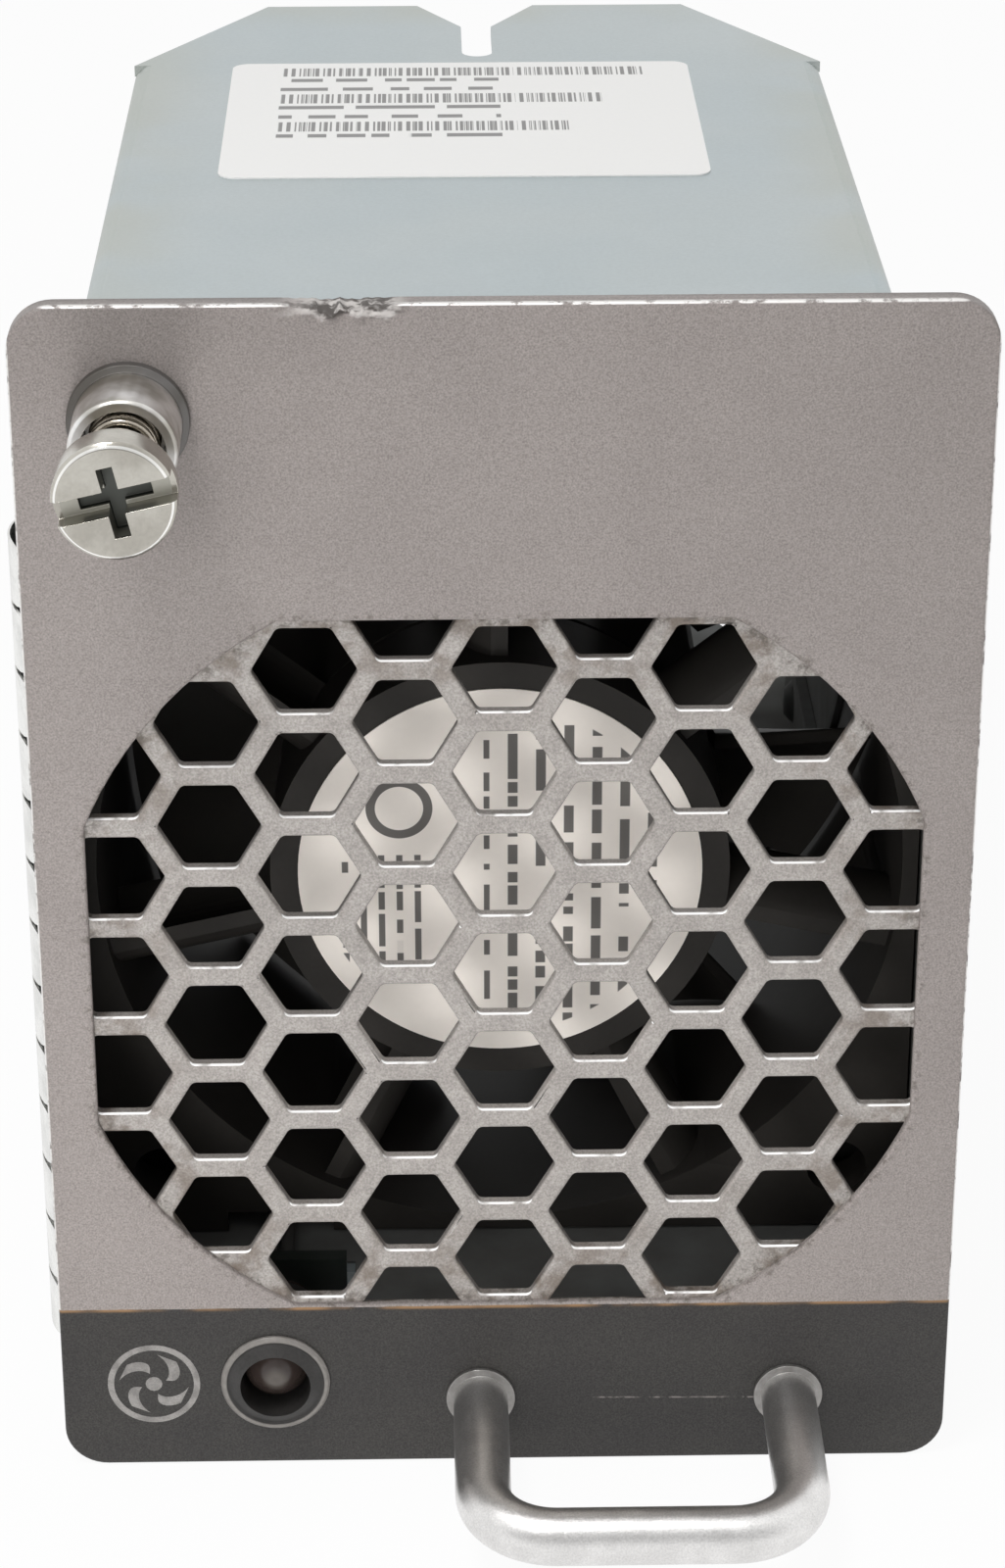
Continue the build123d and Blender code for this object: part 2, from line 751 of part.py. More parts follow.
def fan_label():
    return disc(0, fan_axis_z, label_radius, fan_front - label_thickness, fan_front)


def motor_board():
    """Ring-shaped drive board on the hub's posts, around the bearing tube."""
    front = fan_front + hub_floor + motor_board_height
    return tube(0, fan_axis_z, motor_board_radius, hub_boss_radius, front, front + motor_board_thickness)


def bearing_tube():
    return tube(0, fan_axis_z, bearing_tube_radius, bearing_radius, bearing_tube_front, bearing_tube_back)


def bearing_fronts():
    """Depth of the front face of each ball bearing."""
    last = bearing_tube_back - bearing_length
    return [bearing_tube_front + bearing_end_gap, last - bearing_end_gap]


def bearing_outer_rings():
    """Outer rings with the shields that close them."""
    rings = []
    ring_bore = bearing_radius - bearing_ring_wall
    shield_bore = shaft_radius + bearing_ring_wall + bearing_slack
    shield = bearing_ring_wall / 3
    for front in bearing_fronts():
        back = front + bearing_length
        outline = [(bearing_radius, front), (bearing_radius, back), (shield_bore, back)]
        outline += [(shield_bore, back - shield), (ring_bore, back - shield)]
        outline += [(ring_bore, front + shield), (shield_bore, front + shield)]
        outline += [(shield_bore, front)]
        rings.append(turned(outline, 0, fan_axis_z))
    return Compound(rings)


def bearing_inner_rings():
    outer = shaft_radius + bearing_ring_wall
    rings = []
    for front in bearing_fronts():
        rings.append(tube(0, fan_axis_z, outer, shaft_radius, front, front + bearing_length))
    return Compound(rings)


def stator_core():
    """Laminated core: a ring with four poles, each ending in a curved shoe."""
    shoe_ring = Circle(core_radius) - Circle(core_radius - core_shoe_depth)
    for turn in (-45, 45):
        shoe_ring -= Rot(0, 0, turn) * Rectangle(3 * core_radius, core_pole_gap)
    arms = Rectangle(2 * core_radius - core_shoe_depth, core_pole_width)
    arms += Rectangle(core_pole_width, 2 * core_radius - core_shoe_depth)
    drawing = Circle(core_ring_radius) + arms + shoe_ring - Circle(bearing_tube_radius)
    return plate(Pos(0, fan_axis_z) * drawing, core_front, core_back)


def stator_windings():
    """One coil of enamelled wire round each pole."""
    front = core_front - winding_overhang
    back = core_back + winding_overhang
    inner = core_ring_radius + winding_gap
    half = core_pole_width / 2
    wide = half + winding_build
    outer = math.sqrt((core_radius - core_shoe_depth) ** 2 - wide**2) - winding_gap
    bottom = fan_axis_z + inner
    top = fan_axis_z + outer
    coil = block(-wide, wide, front, back, bottom, top)
    coil -= block(-half, half, core_front, core_back, bottom, top)
    return Compound([about_fan_axis(coil, i * 90) for i in range(4)])


def rotor_magnet():
    return tube(0, fan_axis_z, magnet_radius, core_radius + air_gap, core_front, core_back)


def rotor_yoke():
    """Steel cup that carries the magnet and closes at the back round the bushing."""
    front = fan_front + rotor_setback + sheet_gap
    yoke = disc(0, fan_axis_z, yoke_radius, front, rotor_floor)
    yoke -= disc(0, fan_axis_z, magnet_radius, front, rotor_floor - yoke_thickness)
    return yoke - disc(0, fan_axis_z, shaft_radius + bushing_wall, front, rotor_floor)


def rotor_bushing():
    front = rotor_floor - bushing_length
    return tube(0, fan_axis_z, shaft_radius + bushing_wall, shaft_radius, front, rotor_floor)


def fan_shaft():
    return disc(0, fan_axis_z, shaft_radius, bearing_tube_front + clip_thickness / 2, rotor_floor)


def shaft_clip():
    """Open retaining clip in front of the front bearing."""
    back = bearing_fronts()[0] - sheet_gap
    front = back - clip_thickness
    clip_radius = shaft_radius + clip_width
    clip = tube(0, fan_axis_z, clip_radius, shaft_radius, front, back)
    mouth = shaft_radius * 0.8
    return clip - block(-mouth, mouth, front, back, fan_axis_z - 2 * clip_radius, fan_axis_z)


def blade_section(distance, chord, angle):
    """Cambered blade section, seen along the radius at a distance from the fan axis."""
    middle = (fan_front + rotor_setback + rotor_end) / 2
    half_chord = chord / 2
    half = blade_thickness / 2
    upper = ThreePointArc((-half_chord, half), (0, blade_camber + half), (half_chord, half))
    lower = ThreePointArc((half_chord, -half), (0, blade_camber - half), (-half_chord, -half))
    ends = Line(upper @ 1, lower @ 0) + Line(lower @ 1, upper @ 0)
    face = make_face(upper + lower + ends)
    return Plane.XY.offset(fan_axis_z + distance) * Pos(0, middle) * Rot(0, 0, 90 - angle) * face


def fan_rotor():
    """Hub with swept blades."""
    front = fan_front + rotor_setback
    hub = disc(0, fan_axis_z, rotor_hub_radius, front, rotor_end)
    hub = fillet(hub.edges().filter_by(GeomType.CIRCLE).sort_by(Axis.Y)[-1], rotor_back_wall)
    root_distance = (rotor_hub_radius + yoke_radius) / 2
    tip_radius = fan_bore_radius - blade_tip_gap
    root = blade_section(root_distance, blade_root_chord, blade_root_angle)
    tip = blade_section(fan_bore_radius, blade_tip_chord, blade_tip_angle)
    blade = loft([root, tip]) & disc(0, fan_axis_z, tip_radius, front, rotor_end)
    rotor = hub
    for i in range(blade_count):
        rotor += about_fan_axis(blade, i * 360 / blade_count)
    return rotor - disc(0, fan_axis_z, yoke_radius, front, rotor_floor)


def fan_bulkhead():
    """Plate behind the fan with its inlet hole and a flange folded back along floor and ceiling."""
    width = duct_inner_width - 2 * bulkhead_gap
    height = ceiling - floor_top - bulkhead_gap
    flange_back = bulkhead_back + bulkhead_flange
    outline = Pos(0, (floor_top + ceiling) / 2) * Rectangle(width, height)
    outline = fillet(outline.vertices().sort_by(Axis.Y)[-2:], sheet_bend_radius)
    bottom = floor_top + bulkhead_gap / 2
    bulkhead = plate(outline, fan_back, flange_back)
    inner_bottom = bottom + sheet_thickness
    inner_top = bottom + height - sheet_thickness
    bulkhead -= block(-width / 2, width / 2, bulkhead_back, flange_back, inner_bottom, inner_top)
    bulkhead -= disc(0, fan_axis_z, fan_bore_radius - inlet_lip, fan_back, bulkhead_back)
    for x, z in fan_hole_centres():
        bulkhead -= disc(x, z, fan_screw_radius + screw_hole_gap, fan_back, bulkhead_back)
    left = lamp_x - lead_band / 2
    channel = block(left, left + lead_band, fan_back, flange_back, bottom, lead_channel_top)
    return bulkhead - channel


def fan_screws():
    front = bulkhead_back
    back = front + fan_screw_head_height
    tip = front - fan_screw_length
    outline = [(0, tip), (fan_screw_radius, tip), (fan_screw_radius, front), (fan_screw_head_radius, front)]
    outline += [(fan_screw_head_radius, front + fan_screw_head_height / 2)]
    outline += [(fan_screw_head_radius - fan_screw_head_height / 2, back), (0, back)]
    return Compound([turned(outline, x, z) for x, z in fan_hole_centres()])


def lead(index, start):
    """One insulated lead, from where it leaves its piece to its way in the rear connector."""
    bend = bulkhead_back + bulkhead_flange + lead_bend_start
    path = FilletPolyline(
        (lead_x[index], start, lead_z),
        (lead_x[index], bend, lead_z),
        (way_x[index], back_clip_y - lead_bend_end, lead_z),
        (way_x[index], connector_front, lead_z),
        radius=lead_bend_radius,
    )
    section = seen_from_front(start) * Pos(lead_x[index], lead_z) * Circle(lead_diameter / 2)
    return sweep(section, path=path)


def fan_leads():
    """The fan's four leads, from the back of its front flange."""
    start = fan_front + fan_flange_thickness
    return Compound([lead(index, start) for index in (0, 1, 4, 5)])


def led_wires():
    """The lamp's two leads, from its board."""
    start = lamp_board_front + lamp_board_thickness
    return Compound([lead(index, start) for index in (2, 3)])


def wire_clips():
    """Two saddles on the floor of the duct, one round the bundle and one round the spread leads."""
    clips = []
    for front, positions in ((front_clip_y, lead_x), (back_clip_y, way_x)):
        back = front + lead_clip_length
        slack = lead_diameter / 2 + lead_clip_gap
        left = positions[0] - slack
        right = positions[-1] + slack
        top = lead_z + slack
        outer_left = left - lead_clip_wall
        outer_right = right + lead_clip_wall
        clip = block(outer_left, outer_right, front, back, floor_top, top + lead_clip_wall)
        clips.append(clip - block(left, right, front, back, lead_z - slack, top))
    return Compound(clips)


def rear_connector():
    """Shrouded plug that meets the switch's own connector."""
    half = connector_width / 2
    top = floor_top + connector_height
    housing = block(connector_x - half, connector_x + half, connector_front, connector_back, floor_top, top)
    inner = half - connector_wall
    mouth = connector_back - connector_cavity_depth
    cavity_bottom = floor_top + connector_wall
    cavity_top = top - connector_wall
    left = connector_x - inner
    right = connector_x + inner
    housing -= block(left, right, mouth, connector_back, cavity_bottom, cavity_top)
    mouth_edges = housing.edges().filter_by(Plane.XZ).group_by(Axis.Y)[-1]
    return chamfer(mouth_edges, connector_wall / 4)


def connector_pins():
    """Two rows of square pins standing in the plug's cavity."""
    mouth = connector_back - connector_cavity_depth
    half = connector_pin_side / 2
    middle = floor_top + connector_height / 2
    pins = []
    for row in range(connector_pin_rows):
        z = middle + (row - (connector_pin_rows - 1) / 2) * connector_pitch
        for x in way_x:
            pins.append(block(x - half, x + half, mouth, mouth + connector_pin_proud, z - half, z + half))
    return Compound(pins)


def bracket_middle():
    return connector_front + bracket_length / 2


def bracket_screw_x():
    reach = connector_width / 2 + bracket_gap + bracket_thickness + bracket_ear / 2
    return [connector_x - reach, connector_x + reach]


def connector_bracket():
    """Saddle over the plug, with an ear at each side screwed to the tongue of the floor."""
    half = connector_width / 2 + bracket_gap
    front = connector_front
    back = front + bracket_length
    inner_top = floor_top + connector_height + bracket_gap
    outer = half + bracket_thickness
    ear = outer + bracket_ear
    saddle_top = inner_top + bracket_thickness
    ear_top = floor_top + bracket_thickness
    saddle = block(connector_x - outer, connector_x + outer, front, back, floor_top, saddle_top)
    saddle += block(connector_x - ear, connector_x + ear, front, back, floor_top, ear_top)
    saddle -= block(connector_x - half, connector_x + half, front, back, floor_top, inner_top)
    for x in bracket_screw_x():
        hole = Pos(x, bracket_middle(), floor_top) * Circle(bracket_screw_radius + screw_hole_gap)
        saddle -= extrude(hole, amount=bracket_thickness)
    return saddle


def bracket_screws():
    """Screws through the bracket's ears, their points just out of the tongue."""
    seat = floor_top + bracket_thickness
    top = seat + bracket_screw_head_height
    tip = duct_foot - bracket_screw_tail
    crown = bracket_screw_head_radius - bracket_screw_head_height / 2
    shoulder = top - bracket_screw_head_height / 2
    outline = [(0, tip), (bracket_screw_radius, tip), (bracket_screw_radius, seat)]
    outline += [(bracket_screw_head_radius, seat), (bracket_screw_head_radius, shoulder)]
    outline += [(crown, top), (0, top)]
    screw = revolve(Plane.XZ * make_face(Polyline(*outline, close=True)), Axis.Z)
    return Compound([Pos(x, bracket_middle(), 0) * screw for x in bracket_screw_x()])


def cover_sticker():
    centre_x = cover_label_inset - duct_width / 2 + cover_label_width / 2
    centre_y = duct_end - cover_label_length / 2
    outline = RectangleRounded(cover_label_width, cover_label_length, cover_label_corner)
    return extrude(Pos(centre_x, centre_y, duct_top) * outline, amount=cover_label_thickness)


pieces = {
    "front_panel": front_panel(),
    "honeycomb_screen": honeycomb_screen(),
    "tray_wrap": tray_wrap(),
    "tray_base": tray_base(),
    "shell_rivets": shell_rivets(),
    "emi_gasket": emi_gasket(),
    "handle_bar": handle_bar(),
    "handle_screws": handle_screws(),
    "screw_ferrule": screw_ferrule(),
    "captive_screw": captive_screw(),
    "thrust_washer": thrust_washer(),
    "screw_spring": screw_spring(),
    "led_holder": led_holder(),
    "status_led": status_led(),
    "led_pins": led_pins(),
    "led_board": led_board(),
    "fan_frame": fan_frame(),
    "fan_label": fan_label(),
    "motor_board": motor_board(),
    "bearing_tube": bearing_tube(),
    "bearing_outer_rings": bearing_outer_rings(),
    "bearing_inner_rings": bearing_inner_rings(),
    "stator_core": stator_core(),
    "stator_windings": stator_windings(),
    "rotor_magnet": rotor_magnet(),
    "rotor_yoke": rotor_yoke(),
    "rotor_bushing": rotor_bushing(),
    "fan_shaft": fan_shaft(),
    "shaft_clip": shaft_clip(),
    "fan_rotor": fan_rotor(),
    "fan_bulkhead": fan_bulkhead(),
    "fan_screws": fan_screws(),
    "fan_leads": fan_leads(),
    "led_wires": led_wires(),
    "wire_clips": wire_clips(),
    "rear_connector": rear_connector(),
    "connector_pins": connector_pins(),
    "connector_bracket": connector_bracket(),
    "bracket_screws": bracket_screws(),
    "cover_sticker": cover_sticker(),
}

os.makedirs("parts", exist_ok=True)
for name, piece in pieces.items():
    export_step(piece, f"parts/{name}.step")
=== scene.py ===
import math

import bmesh
import bpy
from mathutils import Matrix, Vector


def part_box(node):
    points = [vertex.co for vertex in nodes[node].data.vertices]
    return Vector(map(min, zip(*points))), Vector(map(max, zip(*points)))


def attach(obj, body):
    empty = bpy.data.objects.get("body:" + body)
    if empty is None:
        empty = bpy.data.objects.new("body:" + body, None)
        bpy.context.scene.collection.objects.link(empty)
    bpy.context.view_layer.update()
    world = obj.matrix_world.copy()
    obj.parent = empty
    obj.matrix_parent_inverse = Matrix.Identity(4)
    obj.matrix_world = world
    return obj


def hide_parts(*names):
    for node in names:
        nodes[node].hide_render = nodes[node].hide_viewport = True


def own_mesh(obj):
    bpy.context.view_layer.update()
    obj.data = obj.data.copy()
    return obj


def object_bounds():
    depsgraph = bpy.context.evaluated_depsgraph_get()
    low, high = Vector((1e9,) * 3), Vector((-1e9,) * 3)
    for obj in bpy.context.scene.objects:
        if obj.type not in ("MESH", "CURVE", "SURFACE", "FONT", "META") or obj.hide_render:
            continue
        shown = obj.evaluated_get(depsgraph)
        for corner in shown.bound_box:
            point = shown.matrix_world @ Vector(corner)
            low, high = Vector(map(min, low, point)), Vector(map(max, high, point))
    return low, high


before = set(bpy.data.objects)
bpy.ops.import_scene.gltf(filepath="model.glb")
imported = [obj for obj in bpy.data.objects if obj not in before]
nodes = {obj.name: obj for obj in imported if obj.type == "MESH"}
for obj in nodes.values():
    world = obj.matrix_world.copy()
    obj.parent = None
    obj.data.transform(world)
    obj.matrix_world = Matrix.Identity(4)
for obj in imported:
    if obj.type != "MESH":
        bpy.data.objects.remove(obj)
cad_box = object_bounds()
MM = 0.001

# Studio
# A pale floor that glows except where the tray stands over it, a white surround, and three soft
# lamps: one overhead, a larger one at the front left and a weak one near the panel's foot.
WHITE = (1.0, 1.0, 1.0, 1.0)
FLOOR_HALF_WIDTH = 3.0
FLOOR_COLOUR = (0.86, 0.86, 0.86, 1.0)
FLOOR_WHITENESS = 0.94
COVERED_SIDE = (-0.006, 0.0)
COVERED_FRONT = (0.006, 0.0)
COVERED_END = (-0.03, -0.01)
LIGHT_OVERHEAD = 0.62
LIGHT_IN_FRONT = 0.18
LIGHT_BEHIND = 0.06
OVERHEAD_RISE = (0.35, 0.85)
FRONT_TURN = (0.3, -0.5)
DARKER_MIRRORED_FRONT = 0.45
DARKER_TURN = (-0.2, -0.8)
DARKER_RISE = (0.0, 0.35)
LAMPS = {
    "lamp_above": {"at": (-0.16, -0.15, 0.60), "aim": (0.0, 0.0, 0.05), "side": 0.16, "power": 1.6},
    "lamp_front": {"at": (-0.20, -0.80, 0.30), "aim": (0.0, 0.0, 0.03), "side": 0.30, "power": 1.8},
    "lamp_foot": {"at": (-0.03, -0.11, 0.016), "aim": (-0.01, 0.0, 0.016), "side": 0.03, "power": 0.057},
}
MIRRORED_LAMP = "lamp_above"
CAMERA_FROM_GRILLE_MM = (-5.06, -238.06, 132.32)
CAMERA_TURN_DEGREES = (65.315, 0.1006, -1.0519)
CAMERA_NEAREST = 0.01
PICTURE_LONG_SIDE = 1600
FOCAL_LENGTH_PIXELS = 4061.9
SENSOR_MM = 36.0
CAMERA_SHIFT = (0.0072, -0.0729)


def node(tree, kind, inputs=None, **settings):
    """A shader node; an input is a plain value, or another node's output that is linked to it."""
    made = tree.nodes.new("ShaderNode" + kind)
    for name, value in settings.items():
        setattr(made, name, value)
    for name, value in (inputs or {}).items():
        if isinstance(value, bpy.types.NodeSocket):
            tree.links.new(value, made.inputs[name])
        else:
            made.inputs[name].default_value = value
    return made


def calc(tree, operation, *values):
    """One step of arithmetic, repeated for each value after the second."""
    made = node(tree, "Math", dict(enumerate(values[:2])), operation=operation).outputs[0]
    return calc(tree, operation, made, *values[2:]) if values[2:] else made


def raised(tree, base, mask, amount):
    """The base where the mask is 0, and the base plus the amount where it is 1."""
    return calc(tree, "ADD", base, calc(tree, "MULTIPLY", mask, amount))


def fade(tree, value, start, end):
    """0 at start, 1 at end, and a smooth step between them."""
    inputs = {"Value": value, "From Min": start, "From Max": end}
    return node(tree, "MapRange", inputs, interpolation_type="SMOOTHSTEP").outputs[0]


def fade_near(tree, value, place, offsets):
    """A fade that starts and ends at two offsets from a place."""
    return fade(tree, value, place + offsets[0], place + offsets[1])


def seen_directly(tree):
    """1 for what the camera, a mirror or clear plastic shows, and 0 for the light on a surface."""
    path = node(tree, "LightPath").outputs
    mirrored = calc(tree, "MAXIMUM", path["Is Glossy Ray"], path["Is Transmission Ray"])
    return calc(tree, "MAXIMUM", path["Is Camera Ray"], mirrored)


def floor_paper():
    """Paper that shows as the pale background, except under the tray, and still takes its shadow."""
    material = bpy.data.materials.new("floor_paper")
    material.use_nodes = True
    tree = material.node_tree
    tree.nodes.clear()
    spot = node(tree, "SeparateXYZ", {"Vector": node(tree, "TexCoord").outputs["Object"]}).outputs
    beside = fade_near(tree, calc(tree, "ABSOLUTE", spot["X"]), cad_box[1].x, COVERED_SIDE)
    before = fade(tree, spot["Y"], *COVERED_FRONT)
    beyond = fade_near(tree, spot["Y"], cad_box[1].y, COVERED_END)
    uncovered = calc(tree, "MAXIMUM", beside, before, beyond)
    share = calc(tree, "MULTIPLY", seen_directly(tree), FLOOR_WHITENESS, uncovered)
    paper = node(tree, "BsdfDiffuse", {"Color": FLOOR_COLOUR})
    glow = node(tree, "Emission", {"Color": WHITE, "Strength": 1.0})
    both = node(tree, "MixShader", {0: share, 1: paper.outputs[0], 2: glow.outputs[0]})
    node(tree, "OutputMaterial", {"Surface": both.outputs[0]})
    return material


def white_surround():
    """White where it is seen; as a light, strong overhead, weaker in front and weakest behind."""
    world = bpy.data.worlds.new("surround")
    world.use_nodes = True
    tree = world.node_tree
    tree.nodes.clear()
    ray = node(tree, "SeparateXYZ", {"Vector": node(tree, "TexCoord").outputs["Generated"]}).outputs
    forward = fade(tree, ray["Y"], *FRONT_TURN)
    level = raised(tree, LIGHT_BEHIND, forward, LIGHT_IN_FRONT - LIGHT_BEHIND)
    upward = fade(tree, ray["Z"], *OVERHEAD_RISE)
    light = raised(tree, level, upward, calc(tree, "SUBTRACT", LIGHT_OVERHEAD, level))
    ahead, over = fade(tree, ray["Y"], *DARKER_TURN), fade(tree, ray["Z"], *DARKER_RISE)
    mirrored = node(tree, "LightPath").outputs["Is Glossy Ray"]
    dimmed = calc(tree, "MULTIPLY", ahead, over, DARKER_MIRRORED_FRONT, mirrored)
    whiteness = calc(tree, "SUBTRACT", 1.0, dimmed, light)
    strength = raised(tree, light, seen_directly(tree), whiteness)
    sky = node(tree, "Background", {"Color": WHITE, "Strength": strength})
    node(tree, "OutputWorld", {"Surface": sky.outputs[0]})
    return world


floor_shape = bmesh.new()
bmesh.ops.create_grid(floor_shape, x_segments=1, y_segments=1, size=FLOOR_HALF_WIDTH)
floor_mesh = bpy.data.meshes.new("floor")
floor_shape.to_mesh(floor_mesh)
floor_shape.free()
floor_mesh.materials.append(floor_paper())
floor = bpy.data.objects.new("floor", floor_mesh)
bpy.context.scene.collection.objects.link(floor)
bpy.context.scene.world = white_surround()

for name, lamp in LAMPS.items():
    data = bpy.data.lights.new(name, "AREA")
    data.shape = "SQUARE"
    data.size = lamp["side"]
    data.energy = lamp["power"]
    softbox = bpy.data.objects.new(name, data)
    aim = Vector(lamp["aim"]) - Vector(lamp["at"])
    softbox.location = lamp["at"]
    softbox.rotation_euler = aim.to_track_quat("-Z", "Y").to_euler()
    softbox.visible_camera = False
    softbox.visible_glossy = name == MIRRORED_LAMP
    bpy.context.scene.collection.objects.link(softbox)

screen_low, screen_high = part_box("honeycomb_screen")
fan_low, fan_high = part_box("fan_frame")
fan_axis_z = (fan_low.z + fan_high.z) / 2
camera_data = bpy.data.cameras.new("camera")
camera_data.sensor_width = SENSOR_MM
camera_data.lens = FOCAL_LENGTH_PIXELS / PICTURE_LONG_SIDE * SENSOR_MM
camera_data.shift_x, camera_data.shift_y = CAMERA_SHIFT
camera_data.clip_start = CAMERA_NEAREST
camera = bpy.data.objects.new("camera", camera_data)
grille_centre = Vector((0.0, screen_low.y, fan_axis_z))
camera.location = grille_centre + Vector(CAMERA_FROM_GRILLE_MM) * MM
camera.rotation_euler = [math.radians(turn) for turn in CAMERA_TURN_DEGREES]
bpy.context.scene.collection.objects.link(camera)
bpy.context.scene.camera = camera
bpy.context.scene.view_settings.view_transform = "Standard"


# Front panel
# A steel plate in warm grey paint, with a dark printed band along its foot. Its rim is worn to
# bright metal, and its top edge has been knocked. The duct's flanges are welded to its back.
PAINT = (0.272, 0.243, 0.230, 1.0)
PAINT_SHADE = (0.256, 0.228, 0.216, 1.0)
BAND = (0.032, 0.030, 0.028, 1.0)
BAND_SHADE = (0.029, 0.027, 0.026, 1.0)
RUST = (0.26, 0.15, 0.07, 1.0)
OPENING_EDGE_DARK = (0.085, 0.070, 0.058, 1.0)
BARE_STEEL = (0.90, 0.88, 0.86, 1.0)
DENT_DARK = (0.070, 0.060, 0.054, 1.0)
DENT_BRIGHT = (0.56, 0.53, 0.51, 1.0)
PAINT_GRAIN_MM = 0.13
PRINTED_DEPTH_MM = (0.3, 0.2)
BAND_TOP_MM = 13.25
BAND_EDGE_MM = (0.02, -0.02)
BAND_WAVER_MM = 0.10
RUST_LINE_MM = (-0.35, -0.10)
OPENING_EDGE_DARK_REACH_MM = (0.9, 0.05)
OPENING_EDGE_DARK_SHARE = 0.7
OPENING_RADIUS_MM = 30.4
OPENING_HALF_WIDTH_MM = 28.15
OPENING_HALF_HEIGHT_MM = 26.5
SCRATCH_LEFT_MM = 5.8
SCRATCH_RIGHT_MM = 18.4
SCRATCH_HEIGHT_MM = 5.3
SCRATCH_RISE = -0.012
SCRATCH_HALF_WIDTH_MM = (0.09, 0.03)
SCRATCH_END_MM = 0.5
SCRATCH_SHARE = 0.75
RIM_WEAR_MM = (0.16, 0.064)
RIM_WEAR_DEPTH_MM = (0.60, 0.25)
RIM_WEAR_SHARE = 0.92
RIM_METALLIC = 0.8
PAINT_ROUGHNESS = 0.50
RIM_SMOOTHER = 0.14
DENT_LEFT_MM = -14.2
DENT_RIGHT_MM = -6.6
DENT_CUTS = 30
DENT_LEVELS_MM = (0.3, 0.6, 1.2, 1.4)
DENT_REACH_MM = 1.2
DENT_MARGIN_MM = 0.1
DENT_DEPTH_MM = 0.85
DENT_AT_BACK = 0.25
DENT_WAVES = (41.0, 17.0, 1.0)
DENT_CREASE_MM = 0.35
DENT_CREASES = (29.0, 5.0)
KNOCK_LEFT_MM = (-1.0, 3.0)
KNOCK_RIGHT_MM = (0.8, -0.8)
KNOCK_DEPTH_MM = (1.75, 1.45)
KNOCK_WAVER_MM = 1.6
KNOCK_STRETCH = (0.45, 1.0, 1.0)
WELD_MM = 0.001
FLAT_DEGREES = 0.5
SHARP_DEGREES = 35.0
EASED_SEGMENTS = 2
PATCH_CONTRAST = (0.38, 0.64)


def welded_shape(cad_node):
    """A CAD node's mesh as a bmesh, its corners merged and its flat faces whole again."""
    shape = bmesh.new()
    shape.from_mesh(nodes[cad_node].data)
    bmesh.ops.remove_doubles(shape, verts=shape.verts, dist=WELD_MM * MM)
    flat = math.radians(FLAT_DEGREES)
    bmesh.ops.dissolve_limit(shape, angle_limit=flat, verts=shape.verts, edges=shape.edges)
    return shape


def piece_of(shape, name, bevel_mm=0.0, sharp_degrees=SHARP_DEGREES):
    """Turns a bmesh into a smoothly shaded object, with its sharp edges eased where asked."""
    mesh = bpy.data.meshes.new(name)
    shape.to_mesh(mesh)
    shape.free()
    mesh.polygons.foreach_set("use_smooth", [True] * len(mesh.polygons))
    mesh.set_sharp_from_angle(angle=math.radians(sharp_degrees))
    piece = bpy.data.objects.new(name, mesh)
    bpy.context.scene.collection.objects.link(piece)
    if bevel_mm:
        bevel = piece.modifiers.new("eased edges", "BEVEL")
        bevel.width = bevel_mm * MM
        bevel.segments = EASED_SEGMENTS
        bevel.limit_method = "ANGLE"
        bevel.angle_limit = math.radians(sharp_degrees)
        bevel.harden_normals = True
    return piece


def finish(piece, material, slot, body, *cad_nodes):
    """Gives a piece its material, its moving body and the CAD nodes it stands for; the slot is not used.
    """
    piece.data.materials.clear()
    piece.data.materials.append(material)
    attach(piece, body)
    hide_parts(*cad_nodes)


def places_mm(tree):
    """The surface point's x, y and z in millimetres."""
    point = node(tree, "TexCoord").outputs["Object"]
    parts = node(tree, "SeparateXYZ", {"Vector": point}).outputs
    return [calc(tree, "MULTIPLY", parts[axis], 1.0 / MM) for axis in "XYZ"]


def noise(tree, size_mm, detail=2.0, roughness=0.5, stretch=(1.0, 1.0, 1.0)):
    """Cloudy noise with patches about size_mm across, longer along an axis with a small stretch."""
    point = node(tree, "TexCoord").outputs["Object"]
    scaled = node(tree, "Mapping", {"Vector": point, "Scale": stretch}).outputs[0]
    inputs = {"Vector": scaled, "Scale": 1.0 / MM / size_mm, "Detail": detail, "Roughness": roughness}
    return node(tree, "TexNoise", inputs).outputs["Fac"]


def blotches(tree, size_mm, contrast, detail=2.0, roughness=0.5, stretch=(1.0, 1.0, 1.0)):
    """0 where the cloudy noise is under the first level of contrast, and 1 over the second."""
    return fade(tree, noise(tree, size_mm, detail, roughness, stretch), *contrast)


def mixed(tree, share, first, second):
    return node(tree, "Mix", {0: share, 6: first, 7: second}, data_type="RGBA").outputs[2]


def all_of(tree, *masks):
    return calc(tree, "MULTIPLY", *masks)


def new_group(name, inputs, outputs):
    """An empty node group with its named sockets; returns it with its inputs and outputs inside."""
    group = bpy.data.node_groups.new(name, "ShaderNodeTree")
    for socket, kind in inputs.items():
        group.interface.new_socket(socket, in_out="INPUT", socket_type="NodeSocket" + kind)
    for socket, kind in outputs.items():
        group.interface.new_socket(socket, in_out="OUTPUT", socket_type="NodeSocket" + kind)
    start = group.nodes.new("NodeGroupInput")
    end = group.nodes.new("NodeGroupOutput")
    return group, start.outputs, end.inputs


